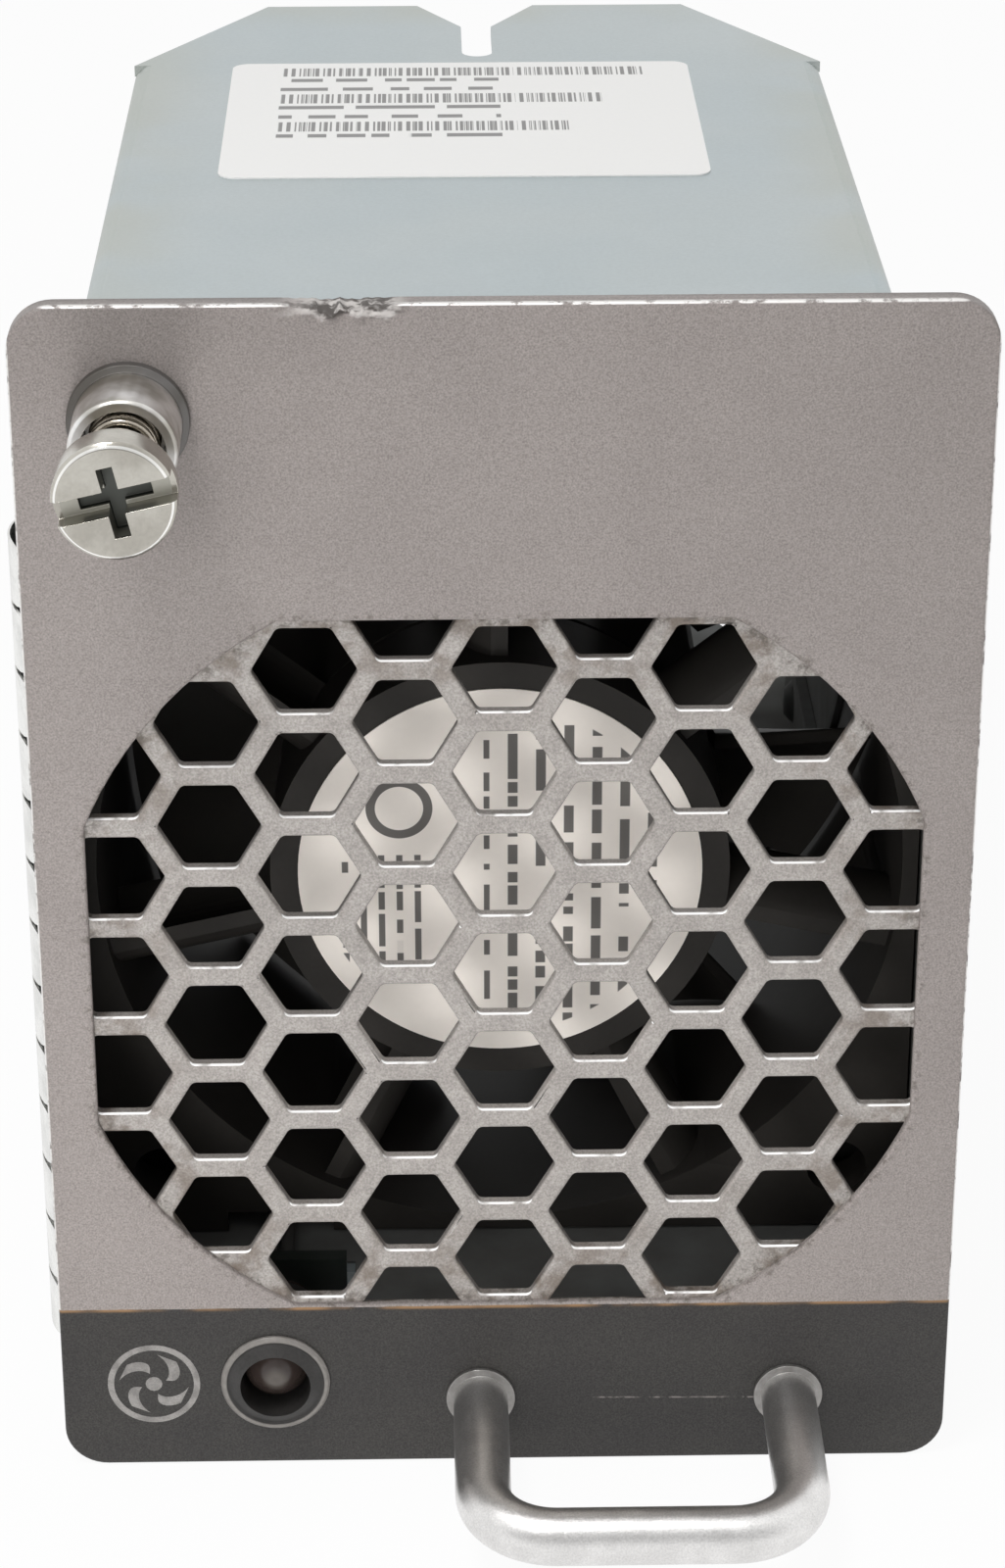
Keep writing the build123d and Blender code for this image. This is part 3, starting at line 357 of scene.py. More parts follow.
def speckle_group():
    """Colour that varies in soft patches and in fine specks, and the specks' height."""
    inputs = {"Colour": "Color", "Shade": "Color", "Patch": "Float", "Specks": "Float", "Grain": "Float"}
    group, given, result = new_group("speckle", inputs, {"Colour": "Color", "Height": "Float"})
    point = node(group, "TexCoord").outputs["Object"]
    clouds = {"Vector": point, "Scale": calc(group, "DIVIDE", 1.0 / MM, given["Patch"]), "Detail": 4.0}
    patches = fade(group, node(group, "TexNoise", clouds).outputs["Fac"], *PATCH_CONTRAST)
    grains = {"Vector": point, "Scale": calc(group, "DIVIDE", 1.0 / MM, given["Grain"]), "Detail": 3.0}
    grain = node(group, "TexNoise", grains).outputs["Fac"]
    shaded = mixed(group, patches, given["Colour"], given["Shade"])
    bright = raised(group, 1.0, calc(group, "SUBTRACT", grain, 0.5), given["Specks"])
    speckles = node(group, "VectorMath", {0: shaded, "Scale": bright}, operation="SCALE").outputs[0]
    group.links.new(speckles, result["Colour"])
    group.links.new(grain, result["Height"])
    return group


SPECKLE = speckle_group()


def speckled(tree, colour, shade, patch_mm, grain_mm, specks):
    """The speckle group's colour and height in one material."""
    inputs = {"Colour": colour, "Shade": shade, "Patch": patch_mm, "Grain": grain_mm, "Specks": specks}
    made = node(tree, "Group", inputs, node_tree=SPECKLE)
    return made.outputs["Colour"], made.outputs["Height"]


def new_material(name, roughness=0.5, metallic=0.0, specular=0.5, coat=0.0, coat_roughness=0.2):
    """A material with plain values on its shader's own sockets."""
    material = bpy.data.materials.new(name)
    material.use_nodes = True
    shader = material.node_tree.nodes["Principled BSDF"]
    shader.inputs["Roughness"].default_value = roughness
    shader.inputs["Metallic"].default_value = metallic
    shader.inputs["Specular IOR Level"].default_value = specular
    shader.inputs["Coat Weight"].default_value = coat
    shader.inputs["Coat Roughness"].default_value = coat_roughness
    return material, material.node_tree, shader


def set_surface(tree, shader, colour, roughness=None, metallic=None):
    """Links a material's colour, and its roughness and bare metal where they vary."""
    tree.links.new(colour, shader.inputs["Base Color"])
    if roughness is not None:
        tree.links.new(roughness, shader.inputs["Roughness"])
    if metallic is not None:
        tree.links.new(metallic, shader.inputs["Metallic"])


def set_relief(tree, shader, height, depth_mm, strength):
    """Gives a surface the fine relief that is too small for its mesh."""
    inputs = {"Height": height, "Distance": depth_mm * MM, "Strength": strength}
    tree.links.new(node(tree, "Bump", inputs).outputs[0], shader.inputs["Normal"])


def flat_distance(tree, across, up):
    """The length of a flat vector with these two sides."""
    squares = calc(tree, "ADD", calc(tree, "MULTIPLY", across, across), calc(tree, "MULTIPLY", up, up))
    return calc(tree, "SQRT", squares)


panel_low, panel_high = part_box("front_panel")
panel_front_mm = panel_low.y / MM
panel_top_mm = panel_high.z / MM
panel_side_mm = panel_high.x / MM
opening_z_mm = (screen_low.z + screen_high.z) / 2 / MM


def rim_distance(tree, x, z):
    """How far a point of the panel lies inside its outer edge, in millimetres."""
    side = calc(tree, "SUBTRACT", panel_side_mm, calc(tree, "ABSOLUTE", x))
    top = calc(tree, "SUBTRACT", panel_top_mm, z)
    return calc(tree, "MINIMUM", side, top, z)


def opening_distance(tree, x, z):
    """How far a point lies outside the air opening, in millimetres, and below 0 inside it."""
    height = calc(tree, "SUBTRACT", z, opening_z_mm)
    arc = calc(tree, "SUBTRACT", flat_distance(tree, x, height), OPENING_RADIUS_MM)
    side = calc(tree, "SUBTRACT", calc(tree, "ABSOLUTE", x), OPENING_HALF_WIDTH_MM)
    end = calc(tree, "SUBTRACT", calc(tree, "ABSOLUTE", height), OPENING_HALF_HEIGHT_MM)
    return calc(tree, "MAXIMUM", arc, side, end)


def darker_opening_edge(tree, x, z):
    """Darker paint beside the air opening."""
    near = fade(tree, calc(tree, "ABSOLUTE", opening_distance(tree, x, z)), *OPENING_EDGE_DARK_REACH_MM)
    return all_of(tree, near, blotches(tree, 0.7, (0.50, 0.66), detail=4.0, roughness=0.7))


def scratch(tree, x, z):
    """A fine broken scratch through the band, between the handle's legs."""
    slope = calc(tree, "MULTIPLY", calc(tree, "SUBTRACT", x, SCRATCH_LEFT_MM), SCRATCH_RISE)
    height = calc(tree, "SUBTRACT", z, SCRATCH_HEIGHT_MM, slope)
    return all_of(
        tree,
        fade(tree, calc(tree, "ABSOLUTE", height), *SCRATCH_HALF_WIDTH_MM),
        fade(tree, x, SCRATCH_LEFT_MM, SCRATCH_LEFT_MM + SCRATCH_END_MM),
        fade(tree, x, SCRATCH_RIGHT_MM, SCRATCH_RIGHT_MM - SCRATCH_END_MM),
        blotches(tree, 0.9, (0.42, 0.60), detail=3.0, roughness=0.6),
    )


def worn_rim(tree, x, y, z):
    """Paint rubbed off the outer edge, in patches."""
    return all_of(
        tree,
        fade(tree, rim_distance(tree, x, z), *RIM_WEAR_MM),
        fade_near(tree, y, panel_front_mm, RIM_WEAR_DEPTH_MM),
        blotches(tree, 1.1, (0.36, 0.50), detail=5.0, roughness=0.7),
    )


def knocked_edge(tree, x, z):
    """Where the knocks have broken the paint of the top edge."""
    depth = calc(tree, "SUBTRACT", panel_top_mm, z)
    ragged = raised(tree, depth, noise(tree, 1.6, detail=3.0, roughness=0.6), KNOCK_WAVER_MM)
    return all_of(
        tree,
        fade_near(tree, x, DENT_LEFT_MM, KNOCK_LEFT_MM),
        fade_near(tree, x, DENT_RIGHT_MM, KNOCK_RIGHT_MM),
        fade(tree, ragged, *KNOCK_DEPTH_MM),
    )


def panel_paint():
    material, tree, shader = new_material("panel_paint", specular=0.4, coat=0.08, coat_roughness=0.25)
    x, y, z = places_mm(tree)
    colour, grain = speckled(tree, PAINT, PAINT_SHADE, patch_mm=12.0, grain_mm=PAINT_GRAIN_MM, specks=1.25)
    band, _ = speckled(tree, BAND, BAND_SHADE, patch_mm=6.0, grain_mm=PAINT_GRAIN_MM, specks=2.4)
    in_front = fade_near(tree, y, panel_front_mm, PRINTED_DEPTH_MM)
    edge = raised(tree, z, noise(tree, 1.5), BAND_WAVER_MM)
    in_band = all_of(tree, fade_near(tree, edge, BAND_TOP_MM, BAND_EDGE_MM), in_front)
    above_band = calc(tree, "SUBTRACT", 1.0, in_band)
    colour = mixed(tree, in_band, colour, band)
    line = all_of(tree, fade_near(tree, z, BAND_TOP_MM, RUST_LINE_MM), in_band)
    colour = mixed(tree, all_of(tree, line, blotches(tree, 4.0, (0.35, 0.60))), colour, RUST)
    # The paint is darker in blotches along the air opening's edge.
    colour = mixed(tree, all_of(tree, darker_opening_edge(tree, x, z), above_band, OPENING_EDGE_DARK_SHARE), colour, OPENING_EDGE_DARK)
    colour = mixed(tree, all_of(tree, scratch(tree, x, z), in_front, SCRATCH_SHARE), colour, PAINT)
    bare = all_of(tree, worn_rim(tree, x, y, z), above_band, RIM_WEAR_SHARE)
    colour = mixed(tree, bare, colour, BARE_STEEL)
    creases = blotches(tree, 0.8, (0.42, 0.60), detail=3.0, roughness=0.6, stretch=KNOCK_STRETCH)
    creased = mixed(tree, creases, DENT_DARK, DENT_BRIGHT)
    colour = mixed(tree, knocked_edge(tree, x, z), colour, creased)
    roughness = raised(tree, PAINT_ROUGHNESS, bare, -RIM_SMOOTHER)
    set_surface(tree, shader, colour, roughness, calc(tree, "MULTIPLY", bare, RIM_METALLIC))
    set_relief(tree, shader, grain, depth_mm=0.012, strength=0.3)
    return material


def knocked_panel():
    """The panel with a row of nicks in its top edge."""
    shape = welded_shape("front_panel")
    for depth in DENT_LEVELS_MM:
        at = Vector((0.0, 0.0, panel_high.z - depth * MM))
        everything = shape.verts[:] + shape.edges[:] + shape.faces[:]
        bmesh.ops.bisect_plane(shape, geom=everything, plane_co=at, plane_no=Vector((0.0, 0.0, 1.0)))
    lowest = panel_high.z - (max(DENT_LEVELS_MM) + DENT_MARGIN_MM) * MM
    step = (DENT_RIGHT_MM - DENT_LEFT_MM) / DENT_CUTS
    for cut in range(DENT_CUTS + 1):
        at = Vector(((DENT_LEFT_MM + cut * step) * MM, 0.0, 0.0))
        faces = [face for face in shape.faces if min(corner.co.z for corner in face.verts) > lowest]
        edges = {edge for face in faces for edge in face.edges}
        corners = {corner for face in faces for corner in face.verts}
        strip = faces + list(edges) + list(corners)
        bmesh.ops.bisect_plane(shape, geom=strip, plane_co=at, plane_no=Vector((1.0, 0.0, 0.0)))
    fast, slow, start = DENT_WAVES
    along, down = DENT_CREASES
    for corner in shape.verts:
        across = (corner.co.x / MM - DENT_LEFT_MM) / (DENT_RIGHT_MM - DENT_LEFT_MM)
        depth = (panel_high.z - corner.co.z) / MM
        if 0.0 < across < 1.0 and depth < DENT_REACH_MM - DENT_MARGIN_MM:
            swell = math.sin(math.pi * across) * (1.0 - depth / DENT_REACH_MM)
            wave = 0.5 + 0.5 * math.sin(across * fast) * math.cos(across * slow + start)
            front = (panel_high.y - corner.co.y) / (panel_high.y - panel_low.y)
            share = DENT_AT_BACK + (1.0 - DENT_AT_BACK) * front
            crease = math.sin(across * along + depth * down) * front
            corner.co.z -= DENT_DEPTH_MM * MM * swell * wave * share
            corner.co.y -= DENT_CREASE_MM * MM * swell * crease
    return piece_of(shape, "panel_plate")


finish(knocked_panel(), panel_paint(), "grey_paint", "tray", "front_panel")


# Fan sign
# A small fan with four blades in a ring, printed in pale ink on the dark band beside the lamp.
INK = (0.260, 0.248, 0.236, 1.0)
INK_DARKER = 0.7
SIGN_X_MM = -25.1
SIGN_Z_MM = 6.9
SIGN_RAISED_MM = 0.015
SIGN_RING_MM = 3.3
SIGN_LINE_MM = 0.45
SIGN_CORNERS = 48
SIGN_HUB_MM = 0.6
SIGN_HUB_STEP = 4
SIGN_BLADES = 4
SIGN_STEPS = 10
SIGN_TURN = 0.3
BLADE_ROOT_MM = 0.3
BLADE_LENGTH_MM = 1.6
BLADE_LEAD = 1.15
BLADE_TRAIL = 0.55
BLADE_BELLY = 0.35


def darker(colour, share):
    """The same colour at a share of its brightness."""
    return [channel * share for channel in colour[:3]] + [1.0]


def fan_sign():
    """The sign as flat faces just in front of the panel."""
    shape = bmesh.new()
    front = panel_low.y - SIGN_RAISED_MM * MM

    def corner(radius, angle):
        x = (SIGN_X_MM + radius * math.cos(angle)) * MM
        return shape.verts.new((x, front, (SIGN_Z_MM + radius * math.sin(angle)) * MM))

    turns = [2 * math.pi * step / SIGN_CORNERS for step in range(SIGN_CORNERS)]
    outer = [corner(SIGN_RING_MM, turn) for turn in turns]
    inner = [corner(SIGN_RING_MM - SIGN_LINE_MM, turn) for turn in turns]
    for here in range(SIGN_CORNERS):
        after = (here + 1) % SIGN_CORNERS
        shape.faces.new((outer[here], outer[after], inner[after], inner[here]))
    shape.faces.new([corner(SIGN_HUB_MM, turn) for turn in turns[::SIGN_HUB_STEP]])
    for blade in range(SIGN_BLADES):
        start = 2 * math.pi * blade / SIGN_BLADES + SIGN_TURN
        leading, trailing = [], []
        for step in range(SIGN_STEPS + 1):
            share = step / SIGN_STEPS
            radius = SIGN_HUB_MM + BLADE_ROOT_MM + BLADE_LENGTH_MM * share
            belly = BLADE_BELLY * math.sin(math.pi * share)
            leading.append(corner(radius, start + BLADE_LEAD * share))
            trailing.append(corner(radius, start + BLADE_TRAIL * share - belly))
        shape.faces.new(leading + trailing[::-1])
    for face in shape.faces:
        face.normal_update()
        if face.normal.y > 0:
            face.normal_flip()
    return piece_of(shape, "fan_sign")


def sign_ink():
    material, tree, shader = new_material("sign_ink", roughness=0.5)
    shade = darker(INK, INK_DARKER)
    ink, grain = speckled(tree, INK, shade, patch_mm=1.0, grain_mm=PAINT_GRAIN_MM, specks=0.8)
    set_surface(tree, shader, ink)
    set_relief(tree, shader, grain, depth_mm=0.01, strength=0.4)
    return material


finish(fan_sign(), sign_ink(), "grey_paint", "tray")


# Honeycomb grille
# A thin punched sheet in paler grey paint, let into a pocket behind the air opening. The punch
# left rounded upper edges, painted near-white where they face up as worn paint and a painted
# highlight, and the air has left brown dust near the opening's rim.
GRILLE_PAINT = (0.345, 0.320, 0.300, 1.0)
GRILLE_SHADE = (0.305, 0.281, 0.262, 1.0)
WORN_PAINT_AND_HIGHLIGHT = (0.97, 0.96, 0.95, 1.0)
DUST = (0.115, 0.082, 0.058, 1.0)
GRILLE_EDGE_MM = 0.22
GRILLE_EDGE_SEGMENTS = 3
FRONT_FACE_MM = 0.01
DUST_REACH_MM = (-9.0, -0.4)
INNER_EDGE_DARK_REACH_MM = (-1.4, -0.2)
DUST_SHARE = 0.75
UPWARD_FACING = (0.44, 0.62)
ROUNDED_DEPTH_MM = (0.02, -0.06)


def punched_grille():
    """The sheet with only the edges on its front face rounded."""
    grille = piece_of(welded_shape("honeycomb_screen"), "grille_sheet")
    mesh = grille.data
    weights = mesh.attributes.new("bevel_weight_edge", "FLOAT", "EDGE")
    front = screen_low.y + FRONT_FACE_MM * MM
    for edge in mesh.edges:
        ends = [mesh.vertices[end].co.y for end in edge.vertices]
        weights.data[edge.index].value = 1.0 if max(ends) < front and edge.use_edge_sharp else 0.0
    rounding = grille.modifiers.new("rounded front edges", "BEVEL")
    rounding.width = GRILLE_EDGE_MM * MM
    rounding.segments = GRILLE_EDGE_SEGMENTS
    rounding.limit_method = "WEIGHT"
    rounding.use_clamp_overlap = False
    return grille


def grille_paint():
    material, tree, shader = new_material(
        "grille_paint", roughness=0.42, metallic=0.10, coat=0.4, coat_roughness=0.18
    )
    x, y, z = places_mm(tree)
    colour, grain = speckled(tree, GRILLE_PAINT, GRILLE_SHADE, patch_mm=2.2, grain_mm=0.15, specks=1.3)
    inside = opening_distance(tree, x, z)
    darkened = blotches(tree, 2.6, (0.42, 0.64), detail=5.0, roughness=0.65)
    darkened = all_of(tree, fade(tree, inside, *DUST_REACH_MM), darkened, DUST_SHARE)
    colour = mixed(tree, darkened, colour, DUST)
    # The grille is darker in blotches just inside the opening's edge.
    inner_edge_dark = blotches(tree, 0.8, (0.47, 0.62), detail=4.0, roughness=0.7)
    inner_edge_dark = all_of(tree, fade(tree, inside, *INNER_EDGE_DARK_REACH_MM), inner_edge_dark, DUST_SHARE)
    colour = mixed(tree, inner_edge_dark, colour, OPENING_EDGE_DARK)
    facing = node(tree, "SeparateXYZ", {"Vector": node(tree, "NewGeometry").outputs["Normal"]})
    # The rounded front edges that face up are painted near-white: worn paint and a painted highlight.
    wear_and_highlight = all_of(
        tree,
        fade(tree, facing.outputs["Z"], *UPWARD_FACING),
        fade_near(tree, y, screen_low.y / MM + GRILLE_EDGE_MM, ROUNDED_DEPTH_MM),
        blotches(tree, 1.6, (0.28, 0.50), detail=3.0),
    )
    colour = mixed(tree, wear_and_highlight, colour, WORN_PAINT_AND_HIGHLIGHT)
    set_surface(tree, shader, colour)
    set_relief(tree, shader, grain, depth_mm=0.015, strength=0.6)
    return material


finish(punched_grille(), grille_paint(), "screen_paint", "tray", "honeycomb_screen")


# Duct
# Top, sides and guide tongue are one zinc plated sheet, and the floor is a second one; four flush
# rivets join them. The plating is bluish, faintly yellow at its cut edges, and painted dark inside
# as dust and painted shade.
ZINC = (0.455, 0.508, 0.523, 1.0)
ZINC_PALE = (0.475, 0.520, 0.528, 1.0)
ZINC_YELLOW = (0.450, 0.450, 0.370, 1.0)
# Dust and painted shade for the duct's inner faces.
INNER_DUST_AND_SHADE = (0.080, 0.074, 0.066, 1.0)
BRIGHT_STEEL = (0.50, 0.50, 0.49, 1.0)
SHEET_MM = 1.0
SHEET_EDGE_MM = 0.12
INNER_FACE_MM = (0.3, 0.1)
FLOOR_FACE_MM = (-0.3, -0.1)
WALL_DUST_AND_SHADE_MM = (-12.0, -30.0)
FLOOR_DUST_AND_SHADE_MM = (-0.5, -9.0)
FLOOR_DUST_AND_SHADE_RISE_MM = (3.0, 1.0)
FLOOR_DUST_AND_SHADE_SHARE = 0.92
THIN_DUST_AND_SHADE = 0.75
YELLOW_REACH_MM = (9.0, 0.5)
YELLOW_SHARE = 0.4
ZINC_METALLIC = 0.75
ZINC_ROUGHNESS = 0.34
METAL_VARIATION = 0.12
METAL_DARKER = 0.82
wrap_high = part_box("tray_wrap")[1]
base_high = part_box("tray_base")[1]


def inside_duct(tree, x, y, z):
    """1 on the inner faces of the duct, painted dark as dust and painted shade, thickest on the floor."""
    wall = wrap_high.x / MM - SHEET_MM
    floor_top = fan_axis_z / MM - wall
    ceiling = fan_axis_z / MM + wall
    rear = base_high.y / MM
    across = fade_near(tree, calc(tree, "ABSOLUTE", x), wall, INNER_FACE_MM)
    above = fade_near(tree, z, floor_top, FLOOR_FACE_MM)
    below = fade_near(tree, z, ceiling, INNER_FACE_MM)
    on_walls = fade_near(tree, y, rear, WALL_DUST_AND_SHADE_MM)
    low_down = fade_near(tree, z, floor_top, FLOOR_DUST_AND_SHADE_RISE_MM)
    on_floor = all_of(tree, low_down, fade_near(tree, y, rear, FLOOR_DUST_AND_SHADE_MM), FLOOR_DUST_AND_SHADE_SHARE)
    return all_of(tree, across, above, below, calc(tree, "MAXIMUM", on_walls, on_floor))


def zinc_plate():
    material, tree, shader = new_material("zinc_plate")
    x, y, z = places_mm(tree)
    colour, grain = speckled(tree, ZINC, ZINC_PALE, patch_mm=30.0, grain_mm=0.30, specks=0.16)
    side = calc(tree, "SUBTRACT", wrap_high.x / MM, calc(tree, "ABSOLUTE", x))
    edge = calc(tree, "MINIMUM", side, calc(tree, "SUBTRACT", wrap_high.y / MM, y))
    cloudy = blotches(tree, 16.0, (0.32, 0.62), detail=3.0)
    tint = all_of(tree, fade(tree, edge, *YELLOW_REACH_MM), cloudy, YELLOW_SHARE)
    colour = mixed(tree, tint, colour, ZINC_YELLOW)
    # Inside the duct the plating is painted nearly black and dull, as dust and painted shade.
    thick = raised(tree, THIN_DUST_AND_SHADE, noise(tree, 5.0, detail=4.0), 1.0 - THIN_DUST_AND_SHADE)
    darkened = all_of(tree, inside_duct(tree, x, y, z), thick)
    colour = mixed(tree, darkened, colour, INNER_DUST_AND_SHADE)
    lines = noise(tree, 0.18, stretch=(1.0, 0.05, 1.0))
    roughness = raised(tree, ZINC_ROUGHNESS, noise(tree, 9.0, detail=3.0), METAL_VARIATION)
    roughness = calc(tree, "MAXIMUM", roughness, darkened)
    set_surface(tree, shader, colour, roughness, raised(tree, ZINC_METALLIC, darkened, -ZINC_METALLIC))
    set_relief(tree, shader, calc(tree, "ADD", grain, lines), depth_mm=0.006, strength=0.5)
    return material


def bare_metal(name, colour, roughness):
    """Plain metal with faint patches and a fine grain."""
    material, tree, shader = new_material(name, roughness=roughness, metallic=1.0)
    shade = darker(colour, METAL_DARKER)
    tone, grain = speckled(tree, colour, shade, patch_mm=3.0, grain_mm=0.3, specks=0.22)
    varied = raised(tree, roughness - METAL_VARIATION / 2, grain, METAL_VARIATION)
    set_surface(tree, shader, tone, varied)
    set_relief(tree, shader, grain, depth_mm=0.004, strength=0.4)
    return material


def dress(cad_node, name, bevel_mm, material, slot, body="tray"):
    """Shows a CAD node's own shape as a finished piece, its edges eased."""
    finish(piece_of(welded_shape(cad_node), name, bevel_mm), material, slot, body, cad_node)


zinc = zinc_plate()
steel = bare_metal("bright_steel", BRIGHT_STEEL, 0.30)
dress("tray_wrap", "duct_cover", SHEET_EDGE_MM, zinc, "zinc_steel")
dress("tray_base", "duct_floor", SHEET_EDGE_MM, zinc, "zinc_steel")
dress("shell_rivets", "rivets", 0.0, zinc, "steel")


# Gasket
# A strip of tinned bronze spring fingers clipped along the left wall behind the panel. Each finger
# arches outwards and is cut free of the next one.
TIN = (0.86, 0.86, 0.84, 1.0)
FINGER_PITCH_MM = 4.75
FINGER_GAP_MM = 0.3
FINGER_METAL_MM = 0.15
FINGER_STEPS = (12, 4)
FINGER_TAPER = 0.35
FINGER_TAPER_POWER = 6
ARCH_FULLNESS = 0.8
ARCH_HEIGHT = 0.92
ARCH_FOOT_MM = 0.1
STRIP_METAL_MM = 0.16
gasket_low, gasket_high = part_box("emi_gasket")


def spring_fingers():
    """The fingers, each an arch of thin strip with its corners taken off, on one flat strip."""
    shape = bmesh.new()
    height = gasket_high.z - gasket_low.z
    count = round((height / MM + FINGER_GAP_MM) / FINGER_PITCH_MM)
    width = gasket_high.y - gasket_low.y
    rise = gasket_high.x - gasket_low.x
    steps_along, steps_across = FINGER_STEPS
    for finger in range(count):
        bottom = gasket_low.z + finger * FINGER_PITCH_MM * MM
        top = bottom + (FINGER_PITCH_MM - FINGER_GAP_MM) * MM
        made = bmesh.ops.create_grid(shape, x_segments=steps_along, y_segments=steps_across, size=0.5)
        for corner in made["verts"]:
            along, across = corner.co.x + 0.5, corner.co.y
            taper = 1.0 - FINGER_TAPER * abs(2.0 * along - 1.0) ** FINGER_TAPER_POWER
            lift = rise * math.sin(math.pi * along) ** ARCH_FULLNESS if 0.0 < along < 1.0 else 0.0
            corner.co.x = gasket_high.x - ARCH_FOOT_MM * MM - lift * ARCH_HEIGHT
            corner.co.y = gasket_low.y + along * width
            corner.co.z = (bottom + top) / 2 + across * (top - bottom) * taper
    bmesh.ops.recalc_face_normals(shape, faces=shape.faces)
    bmesh.ops.solidify(shape, geom=shape.faces[:], thickness=FINGER_METAL_MM * MM)
    strip = bmesh.ops.create_cube(shape, size=1.0)["verts"]
    bmesh.ops.scale(shape, vec=Vector((STRIP_METAL_MM * MM, width, height)), verts=strip)
    middle_y = gasket_low.y + width / 2
    at = Vector((gasket_high.x - STRIP_METAL_MM / 2 * MM, middle_y, gasket_low.z + height / 2))
    bmesh.ops.translate(shape, vec=at, verts=strip)
    return piece_of(shape, "spring_fingers")


tin = bare_metal("tin_plate", TIN, 0.24)
finish(spring_fingers(), tin, "spring_bronze_tin", "tray", "emi_gasket")


# Handle
# A bail bent from blasted aluminium rod. Each leg stands in a collar dulled by handling, and a
# countersunk screw from behind the panel holds it.
ALUMINIUM = (0.84, 0.83, 0.82, 1.0)
ALUMINIUM_SHADE = (0.76, 0.75, 0.74, 1.0)
HANDLED = (0.240, 0.228, 0.216, 1.0)
COLLAR_DEPTH_MM = (-0.42, -0.36)
COLLAR_DULLNESS = (0.55, 0.5)
BLASTED_ROUGHNESS = (0.27, 0.16)
COLLAR_ROUGHER = 0.15


def blasted_aluminium():
    material, tree, shader = new_material("blasted_aluminium", metallic=1.0)
    colour, grain = speckled(tree, ALUMINIUM, ALUMINIUM_SHADE, patch_mm=2.5, grain_mm=0.14, specks=0.55)
    y = places_mm(tree)[1]
    collar = fade_near(tree, y, panel_front_mm, COLLAR_DEPTH_MM)
    least, more = COLLAR_DULLNESS
    dull = raised(tree, least, noise(tree, 0.7, detail=4.0), more)
    colour = mixed(tree, all_of(tree, collar, dull), colour, HANDLED)
    smoothest, rougher = BLASTED_ROUGHNESS
    roughness = raised(tree, raised(tree, smoothest, grain, rougher), collar, COLLAR_ROUGHER)
    set_surface(tree, shader, colour, roughness)
    set_relief(tree, shader, grain, depth_mm=0.025, strength=0.6)
    return material


dress("handle_bar", "bail", 0.06, blasted_aluminium(), "handle_aluminium")
dress("handle_screws", "bail_screws", 0.05, steel, "steel")


# Captive screw
# A nickel plated slotted and cross-recessed head on a thin neck, pushed out by a spring that sits in
# the ferrule pressed into the panel. A washer lies between the spring and the screw's collar.
NICKEL = (0.550, 0.530, 0.480, 1.0)
NICKEL_SHADE = (0.440, 0.420, 0.375, 1.0)
NICKEL_RIM_HIGHLIGHT = (0.97, 0.96, 0.93, 1.0)
SLOT_METAL = (0.470, 0.460, 0.410, 1.0)
RECESS_SHADE = (0.100, 0.104, 0.096, 1.0)
SLEEVE = (0.880, 0.870, 0.860, 1.0)
SLEEVE_FOOT = (0.095, 0.087, 0.081, 1.0)
SPRING_STEEL = (0.52, 0.47, 0.40, 1.0)
RIM_RING_MM = (-0.9, -0.7)
RIM_START_MM = (0.02, 0.05)
RIM_END_MM = (0.20, 0.14)
RECESS_REACH_MM = (3.52, 3.46)
SLOT_START_MM = (0.10, 0.30)
SLOT_DEPTH_MM = 1.5
CROSS_START_MM = (0.05, 0.25)
RECESS_END_MM = (2.3, 2.2)
SLOT_SHARE = 0.85
NICKEL_ROUGHNESS = (0.16, 0.25)
FOOT_DEPTH_MM = (-1.15, -0.95)
FOOT_INNER_MM = (3.3, 3.4)
FOOT_SHARE = 0.85
SLEEVE_ROUGHNESS = (0.33, 0.30)
SPRING_TURNS = 6.0
SPRING_WIRE_MM = 0.42
SPRING_WIRE_ROUNDNESS = 3
SPRING_CLOSED_ENDS = 0.35
SPRING_SHARP_DEGREES = 60.0
STEPS_PER_TURN = 28
screw_low, screw_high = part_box("captive_screw")
spring_low, spring_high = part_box("screw_spring")
screw_x = (screw_low.x + screw_high.x) / 2
screw_z = (screw_low.z + screw_high.z) / 2
head_radius_mm = (screw_high.x - screw_low.x) / 2 / MM


def distance_from(tree, x, z, centre_x, centre_z):
    """How far a point lies from an axis along Y, in millimetres."""
    return flat_distance(
        tree, calc(tree, "SUBTRACT", x, centre_x / MM), calc(tree, "SUBTRACT", z, centre_z / MM)
    )


def screw_nickel():
    """Bright nickel with a painted highlight on its rim, worn in the slot, and painted shade at the bottom
    of the cross.
    """
    material, tree, shader = new_material("screw_nickel", metallic=1.0)
    x, y, z = places_mm(tree)
    colour, grain = speckled(tree, NICKEL, NICKEL_SHADE, patch_mm=3.5, grain_mm=0.22, specks=0.20)
    face = screw_low.y / MM
    reach = distance_from(tree, x, z, screw_x, screw_z)
    # A painted highlight round the chamfer of the head's rim.
    rim = all_of(
        tree,
        fade_near(tree, reach, head_radius_mm, RIM_RING_MM),
        fade_near(tree, y, face, RIM_START_MM),
        fade_near(tree, y, face, RIM_END_MM),
    )
    colour = mixed(tree, rim, colour, NICKEL_RIM_HIGHLIGHT)
    recess = all_of(tree, fade(tree, reach, *RECESS_REACH_MM), fade_near(tree, y, face, RECESS_END_MM))
    slot = all_of(tree, recess, fade_near(tree, y, face, SLOT_START_MM))
    cross = all_of(tree, recess, fade_near(tree, y, face + SLOT_DEPTH_MM, CROSS_START_MM))
    colour = mixed(tree, all_of(tree, slot, SLOT_SHARE), colour, SLOT_METAL)
    # Painted shade at the bottom of the cross recess.
    colour = mixed(tree, cross, colour, RECESS_SHADE)
    smoothest, rougher = NICKEL_ROUGHNESS
    set_surface(tree, shader, colour, raised(tree, smoothest, slot, rougher))
    set_relief(tree, shader, grain, depth_mm=0.006, strength=0.4)
    return material


